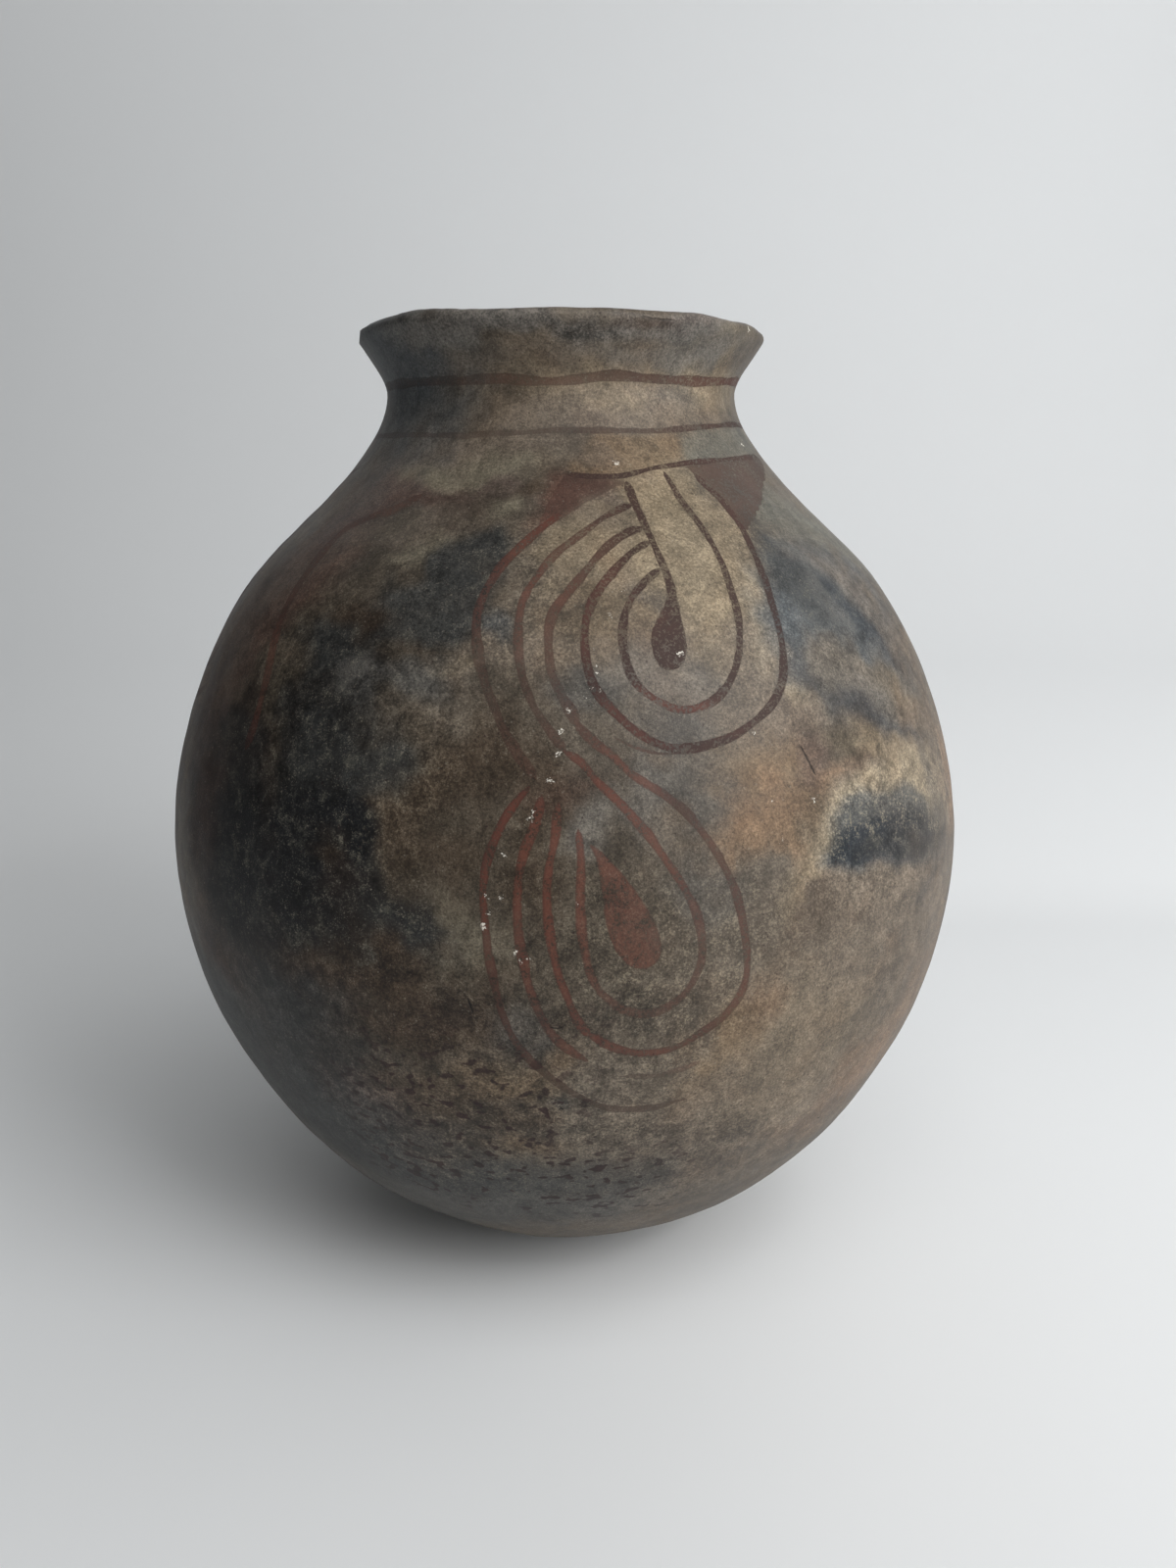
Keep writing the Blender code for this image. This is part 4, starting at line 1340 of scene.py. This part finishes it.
@dataclass(frozen=True)
class BurnishedEarthenware:
    """Low-fired clay rubbed smooth with a pebble: a soft low sheen, mottled brown and grey, never even.

    The clouds of the fire come from the fields on the wall. What breaks them up is here: mottling a
    hand wide, blotches, the grit in the clay, dust in its pores and the fine strokes of the pebble.
    """

    name: str = "burnished_earthenware"
    ash: str = "b3a58a"
    soot: str = "16181b"
    veil: str = "5d5a4e"
    dust: str = "8d8678"
    fleck: str = "2b1b1b"
    slip_umber: str = "35231f"
    slip_border: str = "2b1915"
    slip_red: str = "4f3029"
    slip_rust: str = "6a382b"
    lime: str = "dcd6ca"
    pit: str = "15110e"
    crack: str = "17120f"
    broken: str = "8f867e"
    inner_light: str = "5c5044"
    inner_dark: str = "40372f"
    mottle_mm: float = 40.0
    warmth_mm: float = 24.0
    cloud_mm: float = 12.0
    blotch_mm: float = 4.6
    grain_mm: float = 0.95
    pore_mm: float = 0.5
    streak_mm: float = 1.1
    fleck_mm: float = 3.8
    streak_shape: tuple[float, float, float] = (1.0, 1.0, 0.15)
    fleck_shape: tuple[float, float, float] = (0.75, 0.75, 1.1)
    speck_mm: float = 2.3
    edge_wave_mm: float = 5.0
    fine_wave_mm: float = 1.4
    wander_mm: float = 0.55
    edge_mm: float = 0.26
    spot_edge_mm: float = 0.12
    spot_ragged_mm: float = 4.2
    spot_wave_per_m: float = 900.0
    spot_grain_per_m: float = 1500.0
    spot_radius: float = 0.42
    lime_broken: float = 0.8
    pit_broken: float = 0.1
    crack_depth: float = 2.5
    soot_cover: float = 0.66
    soot_edge: Span = (0.3, 1.2)
    soot_field: Span = (0.02, 0.3)
    soot_on_slip_from: float = 0.2
    slip_under_soot: float = 0.6
    slip_worn: float = 0.1
    wear_edge: Span = (0.32, 0.54)
    rust_step: float = 0.55
    border_mm: Span = (-0.9, -0.2)
    border_cover: float = 0.45
    line_sway: float = 0.5
    line_fray: float = 0.45
    warmth_cover: float = 0.3
    coarse_least: float = 0.3
    speck_edge: Span = (0.2, 0.1)
    speck_drawn: Span = (0.62, 0.72)
    crack_edge_mm: Span = (0.08, -0.12)
    spot_grain: Span = (0.46, 0.54)
    slip_cover: float = 0.94
    saturation: float = 1.02
    roughness: float = 0.5
    slip_roughness: float = 0.62
    soot_roughness: float = 0.55
    inner_roughness: float = 0.85
    specular: float = 0.24
    bump_mm: float = 0.2
    bump_strength: float = 0.6

    def build(self, line_sheets: int, lime: list[Spot], pits: list[Spot]) -> bpy.types.Material:
        """Makes the material.

        Args:
            line_sheets: How many sheets of slip lines the wall carries.
            lime: The place in metres and the width in millimetres of each cluster of burst lime.
            pits: The same of each dark pit.

        Returns:
            The finished material.
        """
        material = bpy.data.materials.new(self.name)
        material.use_nodes = True
        tree = material.node_tree
        shader = tree.nodes["Principled BSDF"]
        shader.inputs["Specular IOR Level"].default_value = self.specular
        noises = self.noises(tree)
        soot = self.soot_share(tree, noises)
        colour = self.fired_colour(tree, noises, soot)
        slip, outside = self.slip_share(tree, noises, soot, line_sheets)
        painted = self.slip_colour(tree, noises, outside)
        colour = add_node(tree, "MixRGB", {0: slip, 1: colour, 2: painted})
        crack = self.crack_share(tree, noises)
        burst = self.spots(tree, lime, self.lime_broken)
        hollows = self.spots(tree, pits, self.pit_broken)
        for share, shade in ((burst, self.lime), (hollows, self.pit), (crack, self.crack)):
            colour = add_node(tree, "MixRGB", {0: share, 1: colour, 2: linear(shade)})
        inside = add_node(tree, "Attribute", attribute_name="inside").outputs["Fac"]
        inner = add_node(tree, "MixRGB", {
            0: noises["cloud"], 1: linear(self.inner_dark), 2: linear(self.inner_light),
        })
        colour = add_node(tree, "MixRGB", {0: inside, 1: colour, 2: inner})
        tree.links.new(colour.outputs[0], shader.inputs["Base Color"])

        rough = self.uneven(tree, self.roughness, noises, cloud=0.3, grain=0.2)
        rough = add_node(tree, "Mix", {0: soot, 2: rough, 3: self.soot_roughness})
        rough = add_node(tree, "Mix", {0: slip, 2: rough, 3: self.slip_roughness})
        rough = add_node(tree, "Mix", {0: inside, 2: rough, 3: self.inner_roughness})
        tree.links.new(rough.outputs[0], shader.inputs["Roughness"])

        relief = self.uneven(tree, 0.0, noises, blotch=0.8, grain=0.6, pore=0.3, streak=0.35)
        cut = {0: crack, 1: -self.crack_depth, 2: relief}
        relief = add_node(tree, "Math", cut, operation="MULTIPLY_ADD")
        bump = add_node(tree, "Bump", {
            "Strength": self.bump_strength, "Distance": self.bump_mm * MM, "Height": relief,
        })
        tree.links.new(bump.outputs[0], shader.inputs["Normal"])
        return material

    def noises(self, tree: Tree) -> Noises:
        """The random patterns that everything on the jar shares, by name, each about 0.5."""
        here = add_node(tree, "TexCoord").outputs["Object"]
        upright = add_node(tree, "Mapping", {"Vector": here, "Scale": self.streak_shape})
        level = add_node(tree, "Mapping", {"Vector": here, "Scale": self.fleck_shape})
        # Source, size, detail, roughness and distortion of each
        patterns = {
            "mottle": (here, self.mottle_mm, 4, 0.55, 0.0),
            "warmth": (here, self.warmth_mm, 3, 0.55, 0.4),
            "cloud": (here, self.cloud_mm, 5, 0.62, 0.7),
            "blotch": (here, self.blotch_mm, 5, 0.7, 0.5),
            "grain": (here, self.grain_mm, 3, 0.7, 0.0),
            "pore": (here, self.pore_mm, 2, 0.5, 0.0),
            "edge": (here, self.edge_wave_mm, 3, 0.55, 0.0),
            "fine_edge": (here, self.fine_wave_mm, 2, 0.5, 0.0),
            "streak": (upright, self.streak_mm, 3, 0.6, 0.0),
            "fleck": (level, self.fleck_mm, 1, 0.5, 0.0),
        }
        return {
            name: add_node(tree, "TexNoise", {
                "Vector": source, "Scale": 1.0 / (size * MM), "Detail": detail, "Roughness": rough,
                "Distortion": twist,
            })
            for name, (source, size, detail, rough, twist) in patterns.items()
        }

    def uneven(self, tree: Tree, base: object, noises: Noises, **swings: float) -> Node:
        """A base made uneven by named patterns, each swinging it about its middle by an amount."""
        middle = sum(swings.values()) / 2
        total = add_node(tree, "Math", {0: base, 1: middle}, operation="SUBTRACT")
        for name, amount in swings.items():
            swing = {0: noises[name], 1: amount, 2: total}
            total = add_node(tree, "Math", swing, operation="MULTIPLY_ADD")
        return total

    def soot_share(self, tree: Tree, noises: Noises) -> Node:
        """Where soot lies on the clay: even in the heart of a cloud, broken into grains at its edge."""
        sooty = add_node(tree, "Attribute", attribute_name=Texture.SOOTY.value).outputs["Fac"]
        streaky = add_node(tree, "Attribute", attribute_name=Texture.STREAKY.value).outputs["Fac"]
        ragged = self.uneven(tree, sooty, noises, cloud=1.0, blotch=1.1, grain=1.2)
        drawn = self.uneven(tree, 0.0, noises, streak=1.2)
        ragged = add_node(tree, "Math", {0: streaky, 1: drawn, 2: ragged}, operation="MULTIPLY_ADD")
        low, high = self.soot_edge
        cover = add_node(tree, "MapRange", {"Value": ragged, "From Min": low, "From Max": high},
                         interpolation_type="SMOOTHSTEP")
        low, high = self.soot_field
        near = add_node(tree, "MapRange", {"Value": sooty, "From Min": low, "From Max": high})
        return add_node(tree, "Math", {0: cover, 1: near}, operation="MULTIPLY")

    def fired_colour(self, tree: Tree, noises: Noises, soot: Node) -> Node:
        """The clay's colour with its mottling, grit, ash, soot, dust and dark flecks."""
        colour = add_node(tree, "Attribute", attribute_name="clay_tint_and_painted_shade").outputs["Vector"]
        level = self.uneven(tree, 0.5, noises, mottle=0.3, cloud=0.5, blotch=0.5, streak=0.16)
        # Pattern, where it starts and ends, and what it makes of the colour there
        tones = (
            (level, 0.2, 0.8, 0.48, 1.55),
            (noises["grain"], 0.3, 0.7, 0.7, 1.32),
            (noises["pore"], 0.3, 0.7, 0.85, 1.17),
        )
        for pattern, low, high, dark, light in tones:
            tone = add_node(tree, "MapRange", {
                "Value": pattern, "From Min": low, "From Max": high, "To Min": dark, "To Max": light,
            }, interpolation_type="SMOOTHSTEP")
            colour = add_node(tree, "MixRGB", {0: 1.0, 1: colour, 2: tone}, blend_type="MULTIPLY")
        for low, high, shade in ((0.5, 0.72, Clay.ORANGE), (0.5, 0.3, Clay.BLUE_GREY)):
            share = add_node(tree, "MapRange", {
                "Value": noises["warmth"], "From Min": low, "From Max": high, "To Max": self.warmth_cover,
            })
            colour = add_node(tree, "MixRGB", {0: share, 1: colour, 2: linear(shade.value)},
                              blend_type="SOFT_LIGHT")
        pale = self.uneven(tree, 0.5, noises, grain=1.1, blotch=0.7)
        dusty = self.uneven(tree, 0.5, noises, pore=1.2, blotch=0.6)
        veil = self.uneven(tree, 0.5, noises, cloud=1.3, blotch=1.4, grain=1.0)
        # Field that holds the layer in, pattern, where it starts and is whole, most cover, and colour
        layers = (
            (None, soot, 0.0, 1.0, self.soot_cover, self.soot),
            (Texture.SOOTY, veil, 0.48, 1.0, 0.55, self.veil),
            (Texture.SOOTY, dusty, 0.58, 0.8, 0.28, self.dust),
            (Texture.ASHY, pale, 0.5, 0.82, 0.42, self.ash),
            (Texture.SPALLED, pale, 0.4, 0.8, 0.6, self.broken),
            (None, dusty, 0.6, 0.86, 0.26, self.dust),
            (None, self.specks(tree, 0.0), 0.0, 1.0, 0.34, self.dust),
            (None, self.specks(tree, 7.0), 0.0, 1.0, 0.6, self.fleck),
            (Texture.SPECKLED, noises["fleck"], 0.59, 0.65, 0.88, self.fleck),
        )
        for texture, pattern, low, high, most, shade in layers:
            share = add_node(tree, "MapRange", {
                "Value": pattern, "From Min": low, "From Max": high, "To Max": most,
            }, interpolation_type="SMOOTHSTEP")
            if texture:
                field = add_node(tree, "Attribute", attribute_name=texture.value).outputs["Fac"]
                share = add_node(tree, "Math", {0: share, 1: field}, operation="MULTIPLY")
            colour = add_node(tree, "MixRGB", {0: share, 1: colour, 2: linear(shade)})
        coarse = add_node(tree, "Attribute", attribute_name=Texture.COARSE.value).outputs["Fac"]
        swing = self.uneven(tree, 0.0, noises, grain=1.3, blotch=1.9, cloud=1.4)
        tone = add_node(tree, "Math", {0: coarse, 1: swing, 2: 1.0}, operation="MULTIPLY_ADD")
        tone = add_node(tree, "Math", {0: tone, 1: self.coarse_least}, operation="MAXIMUM")
        colour = add_node(tree, "MixRGB", {0: 1.0, 1: colour, 2: tone}, blend_type="MULTIPLY")
        return add_node(tree, "HueSaturation", {"Color": colour, "Saturation": self.saturation})

    def slip_share(self, tree: Tree, noises: Noises, soot: Node, line_sheets: int) -> tuple[Node, Node]:
        """How much slip hides the clay, from the fills and the sheets of lines, with wear and soot.

        Returns:
            The share of slip, and how far each place lies outside the edge of the slip, in millimetres.
        """
        wander = self.uneven(tree, 0.0, noises, edge=2 * self.wander_mm, fine_edge=self.wander_mm)
        fill = add_node(tree, "Attribute", attribute_name="slip_fill").outputs["Vector"]
        outline, _, strength = add_node(tree, "SeparateXYZ", {0: fill}).outputs
        edge = add_node(tree, "Math", {0: outline, 1: wander}, operation="ADD")
        covered = add_node(tree, "MapRange", {
            "Value": edge, "From Min": self.edge_mm, "From Max": -self.edge_mm,
        }, interpolation_type="SMOOTHSTEP")
        outside = edge
        for number in range(line_sheets):
            sheet = add_node(tree, "Attribute", attribute_name=f"slip_line_{number}").outputs["Vector"]
            across, half_width, laid = add_node(tree, "SeparateXYZ", {0: sheet}).outputs
            sway = {0: wander, 1: self.line_sway, 2: across}
            swayed = add_node(tree, "Math", sway, operation="MULTIPLY_ADD")
            away = add_node(tree, "Math", {0: swayed}, operation="ABSOLUTE")
            beside = add_node(tree, "Math", {0: away, 1: half_width}, operation="SUBTRACT")
            fray = {0: wander, 1: self.line_fray, 2: beside}
            edge = add_node(tree, "Math", fray, operation="MULTIPLY_ADD")
            line = add_node(tree, "MapRange", {
                "Value": edge, "From Min": self.edge_mm, "From Max": -self.edge_mm,
            }, interpolation_type="SMOOTHSTEP")
            covered = add_node(tree, "Math", {0: covered, 1: line}, operation="MAXIMUM")
            outside = add_node(tree, "Math", {0: outside, 1: edge}, operation="MINIMUM")
            strength = add_node(tree, "Mix", {0: line, 2: strength, 3: laid})
        wear = self.uneven(tree, 0.5, noises, grain=1.1, cloud=0.45, blotch=0.6)
        low, high = self.wear_edge
        kept = add_node(tree, "MapRange", {
            "Value": wear, "From Min": low, "From Max": high, "To Min": self.slip_worn,
            "To Max": self.slip_cover,
        }, interpolation_type="SMOOTHSTEP")
        clear = add_node(tree, "MapRange", {
            "Value": soot, "From Min": self.soot_on_slip_from, "To Min": 1.0,
            "To Max": self.slip_under_soot,
        })
        for part in (strength, kept, clear):
            covered = add_node(tree, "Math", {0: covered, 1: part}, operation="MULTIPLY")
        return covered, outside

    def slip_colour(self, tree: Tree, noises: Noises, outside: Node) -> Node:
        """The iron-rich slip: umber where the fire starved it of air, red and rust where air reached it.

        It dried a little thicker, and so darker, along its edges.
        """
        rusty = add_node(tree, "Attribute", attribute_name=Texture.RUSTY.value).outputs["Fac"]
        rust = self.uneven(tree, rusty, noises, cloud=0.5)
        colour = linear(self.slip_umber)
        step = self.rust_step
        for low, shade in ((0.0, self.slip_red), (step, self.slip_rust)):
            share = add_node(tree, "MapRange", {"Value": rust, "From Min": low, "From Max": low + step})
            colour = add_node(tree, "MixRGB", {0: share, 1: colour, 2: linear(shade)})
        low, high = self.border_mm
        border = add_node(tree, "MapRange", {
            "Value": outside, "From Min": low, "From Max": high, "To Max": self.border_cover,
        })
        return add_node(tree, "MixRGB", {0: border, 1: colour, 2: linear(self.slip_border)})

    def specks(self, tree: Tree, shift: float) -> Node:
        """Fine specks strewn thinly over the whole jar, one in some cells of a pattern."""
        here = add_node(tree, "TexCoord").outputs["Object"]
        moved = add_node(tree, "VectorMath", {0: here, 1: (shift, shift, shift)}, operation="ADD")
        scale = 1.0 / (self.speck_mm * MM)
        cells = add_node(tree, "TexVoronoi", {"Vector": moved, "Scale": scale})
        share = 1.0
        for output, (low, high) in (("Distance", self.speck_edge), ("Color", self.speck_drawn)):
            part = add_node(tree, "MapRange", {
                "Value": cells.outputs[output], "From Min": low, "From Max": high,
            })
            share = add_node(tree, "Math", {0: share, 1: part}, operation="MULTIPLY")
        return share

    def crack_share(self, tree: Tree, noises: Noises) -> Node:
        """Where a hairline crack or a scratch runs."""
        sheet = add_node(tree, "Attribute", attribute_name="crack").outputs["Vector"]
        across, half_width, depth = add_node(tree, "SeparateXYZ", {0: sheet}).outputs
        swayed = self.uneven(tree, across, noises, fine_edge=0.9)
        away = add_node(tree, "Math", {0: swayed}, operation="ABSOLUTE")
        beside = add_node(tree, "Math", {0: away, 1: half_width}, operation="SUBTRACT")
        low, high = self.crack_edge_mm
        share = add_node(tree, "MapRange", {"Value": beside, "From Min": low, "From Max": high})
        return add_node(tree, "Math", {0: share, 1: depth}, operation="MULTIPLY")

    def spots(self, tree: Tree, places: list[Spot], broken: float) -> Node:
        """Ragged spots at places on the jar.

        Args:
            tree: The material's node tree.
            places: The place in metres and the width in millimetres of each.
            broken: How far fine grain breaks them up, from 0, whole, to 1.

        Returns:
            How much of the spots shows.
        """
        here = add_node(tree, "TexCoord").outputs["Object"]
        swing = add_node(tree, "TexNoise", {"Vector": here, "Scale": self.spot_wave_per_m}).outputs["Color"]
        ragged = self.spot_ragged_mm * MM
        spot = add_node(tree, "VectorMath", {0: swing, 1: (ragged, ragged, ragged), 2: here},
                        operation="MULTIPLY_ADD")
        nearest = 1.0
        for place, across in places:
            centre = place + Vector((ragged, ragged, ragged)) / 2
            apart = add_node(tree, "VectorMath", {0: spot, 1: centre}, operation="DISTANCE")
            edge = add_node(tree, "Math", {
                0: apart.outputs["Value"], 1: -self.spot_radius * across * MM,
            }, operation="ADD")
            nearest = add_node(tree, "Math", {0: nearest, 1: edge}, operation="MINIMUM")
        share = add_node(tree, "MapRange", {
            "Value": nearest, "From Min": self.spot_edge_mm * MM, "From Max": -self.spot_edge_mm * MM,
        }, interpolation_type="SMOOTHSTEP")
        fine = add_node(tree, "TexNoise", {"Vector": here, "Scale": self.spot_grain_per_m, "Detail": 1.0})
        low, high = self.spot_grain
        whole = add_node(tree, "MapRange", {
            "Value": fine, "From Min": low, "From Max": high, "To Min": 1.0 - broken, "To Max": 1.0,
        })
        return add_node(tree, "Math", {0: share, 1: whole}, operation="MULTIPLY")


@dataclass(frozen=True)
class SeamlessPaper:
    """Matt photographers' paper, off-white, that takes soft shadows without a shine."""

    name: str = "seamless_paper"
    colour: str = "edeff0"
    roughness: float = 0.9
    specular: float = 0.2

    def build(self) -> bpy.types.Material:
        """Makes the material."""
        material = bpy.data.materials.new(self.name)
        material.use_nodes = True
        shader = material.node_tree.nodes["Principled BSDF"]
        shader.inputs["Base Color"].default_value = linear(self.colour)
        shader.inputs["Roughness"].default_value = self.roughness
        shader.inputs["Specular IOR Level"].default_value = self.specular
        return material


@dataclass(frozen=True)
class SoftLight:
    """A square soft light that looks at the jar. Its place and size are in metres."""

    name: str
    place: tuple[float, float, float]
    size: float
    watts: float
    colour: str = "ffffff"

    def hang(self, aim: tuple[float, float, float]) -> None:
        """Makes the light and turns it to a place in metres."""
        way = Vector(aim) - Vector(self.place)
        turn = way.to_track_quat("-Z", "Y").to_euler()
        bpy.ops.object.light_add(type="AREA", location=self.place, rotation=turn)
        light = bpy.context.object
        light.name = self.name
        light.data.shape = "SQUARE"
        light.data.size = self.size
        light.data.energy = self.watts
        light.data.color = linear(self.colour)[:3]


@dataclass
class Studio:
    """The pale sweep that the jar stands on and the soft light of a room. Sizes are in metres."""

    half_width: float = 1.5
    front: float = -1.3
    floor_to: float = 0.32
    first_bend: float = 0.3
    ramp_deg: float = 16.0
    ramp_length: float = 0.42
    last_bend: float = 0.6
    wall_height: float = 1.6
    first_steps: int = 12
    last_steps: int = 32
    room_light: float = 0.04
    room_seen: float = 0.7
    room_colour: str = "f4f6f8"
    aim: tuple[float, float, float] = (0.0, 0.1, 0.15)
    lights: tuple[SoftLight, ...] = (
        SoftLight("window", (1.2, -1.0, 0.9), 1.0, 19.2),
        SoftLight("window_top", (0.9, -0.9, 1.7), 1.0, 9.1),
        SoftLight("ceiling", (0.0, -1.0, 1.8), 1.0, 6.1),
        SoftLight("side_high", (1.2, 0.1, 1.5), 1.0, 2.6),
        SoftLight("side", (1.5, 0.1, 0.7), 1.0, 2.6),
        SoftLight("left_wall", (-1.2, -1.0, 0.9), 1.0, 0.8),
        SoftLight("behind_right", (0.8, 0.85, 1.5), 0.7, 1.4),
        SoftLight("behind_left", (-0.8, 0.85, 1.5), 0.7, 0.9),
    )

    def build(self) -> None:
        """Makes the sweep, the room's light and the lights."""
        sweep = self.sweep()
        sweep.data.materials.append(SeamlessPaper().build())
        bpy.context.scene.world = self.room()
        for light in self.lights:
            light.hang(self.aim)
        LOG.info("paper_sweep: floor, ramp and wall, %d lights", len(self.lights))

    def room(self) -> bpy.types.World:
        """A room that gives little light of its own and looks as pale as the paper past its edge."""
        world = bpy.data.worlds.new("room")
        world.use_nodes = True
        tree = world.node_tree
        background = tree.nodes["Background"]
        background.inputs["Color"].default_value = linear(self.room_colour)
        background.inputs["Strength"].default_value = self.room_light
        pale = {"Color": linear(self.room_colour), "Strength": self.room_seen}
        seen = add_node(tree, "Background", pale)
        looked_at = add_node(tree, "LightPath").outputs["Is Camera Ray"]
        both = add_node(tree, "MixShader", {0: looked_at, 1: background, 2: seen})
        tree.links.new(both.outputs[0], tree.nodes["World Output"].inputs["Surface"])
        return world

    def sweep(self) -> bpy.types.Object:
        """Draws the sweep out of one plane: floor, a low ramp behind the jar, and a wall."""
        bpy.ops.object.select_all(action="DESELECT")
        bpy.ops.mesh.primitive_plane_add(size=2.0)
        sweep = bpy.context.object
        sweep.name = "paper_sweep"
        for vert in sweep.data.vertices:
            vert.co.x *= self.half_width
            vert.co.y = self.front if vert.co.y < 0 else self.floor_to
        bpy.ops.object.mode_set(mode="EDIT")
        bpy.ops.mesh.select_mode(type="EDGE")
        bpy.ops.mesh.select_all(action="DESELECT")
        bpy.ops.object.mode_set(mode="OBJECT")
        for edge in sweep.data.edges:
            edge.select = all(sweep.data.vertices[index].co.y > 0 for index in edge.vertices)
        bpy.ops.object.mode_set(mode="EDIT")
        ramp = math.radians(self.ramp_deg)
        along = Vector((0.0, math.cos(ramp), math.sin(ramp)))
        out = Vector((0.0, -math.sin(ramp), math.cos(ramp)))
        edge = Vector((0.0, self.floor_to, 0.0))
        centre = edge + Vector((0.0, 0.0, self.first_bend))
        bpy.ops.mesh.spin(steps=self.first_steps, angle=-ramp, center=centre, axis=(1, 0, 0))
        bpy.ops.mesh.extrude_region_move(TRANSFORM_OT_translate={"value": along * self.ramp_length})
        edge = centre - out * self.first_bend + along * self.ramp_length
        centre = edge + out * self.last_bend
        bpy.ops.mesh.spin(steps=self.last_steps, angle=ramp - math.pi / 2, center=centre, axis=(1, 0, 0))
        bpy.ops.mesh.extrude_region_move(TRANSFORM_OT_translate={"value": (0.0, 0.0, self.wall_height)})
        bpy.ops.mesh.select_all(action="SELECT")
        bpy.ops.mesh.normals_make_consistent(inside=False)
        bpy.ops.object.mode_set(mode="OBJECT")
        bpy.ops.object.shade_smooth()
        return sweep


@dataclass
class Olla:
    """The whole jar, from its bare wall to its finished surface."""

    camera: PhotoCamera
    inside_from: float = 2.0
    inside_fade: float = 6.0
    first_band_seed: int = 40
    first_crack_seed: int = 60

    def build(self) -> bpy.types.Object:
        """Makes the wall, works it, paints it and gives it to the frame.

        Returns:
            The finished jar.
        """
        form = JarForm(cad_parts["olla"], self.camera)
        maker = JarWall(form)
        wall = maker.build()
        sheet = WallSheet(wall, form, maker.lip_rise)
        sheet.keep("inside", ease((sheet.rise - sheet.lip_rise - self.inside_from) / self.inside_fade))
        sheet.lay_clouds_and_painted_shade(CLOUDS_AND_PAINTED_SHADE)
        self.paint(sheet)
        sheet.work_marks()
        lime, pits = (
            [(form.at((spot.x, spot.y)), spot.across) for spot in spots] for spots in (LIME, PITS)
        )
        wall.data.materials.append(BurnishedEarthenware().build(len(sheet.lines), lime, pits))
        form.remove()
        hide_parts("olla")
        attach(wall, "root")
        LOG.info("olla_wall: %d points, %d faces, %d sheets of lines",
                 len(wall.data.vertices), len(wall.data.polygons), len(sheet.lines))
        return wall

    def paint(self, sheet: WallSheet) -> None:
        """Lays every slip line, band, crack and fill on the wall."""
        for number, stroke in enumerate(STROKES):
            trail = sheet.trail(stroke, number)
            for turn in (0.0, *MOTIF_TURNS_DEG) if stroke.repeats else (0.0,):
                sheet.lay_line(trail, sheet.lines, turn)
        for number, band in enumerate(BANDS):
            sheet.lay_line(sheet.band_trail(band, number + self.first_band_seed), sheet.lines)
        for number, (values, _) in enumerate(sheet.lines):
            sheet.keep(f"slip_line_{number}", values)
        for number, crack in enumerate(CRACKS):
            sheet.lay_line(sheet.trail(crack, number + self.first_crack_seed), sheet.cracks)
        sheet.keep("crack", sheet.cracks[0][0])
        sheet.lay_fills(FILLS, (0.0, *MOTIF_TURNS_DEG))
        for kind, marks in (("lines", STROKES), ("bands", BANDS), ("cracks", CRACKS), ("fills", FILLS)):
            LOG.info("%s: %s", kind, ", ".join(mark.name for mark in marks))


def main() -> None:
    """Builds the jar and its setting and reports each piece."""
    logging.basicConfig(level=logging.INFO, format="%(name)s: %(message)s")
    for old in ("Cube", "Light", "Camera"):
        if old in bpy.data.objects:
            bpy.data.objects.remove(bpy.data.objects[old])
    camera = PhotoCamera()
    Olla(camera).build()
    Studio().build()
    camera.set_up()
    bpy.context.scene.view_settings.view_transform = "Standard"


if __name__ == "__main__":
    main()
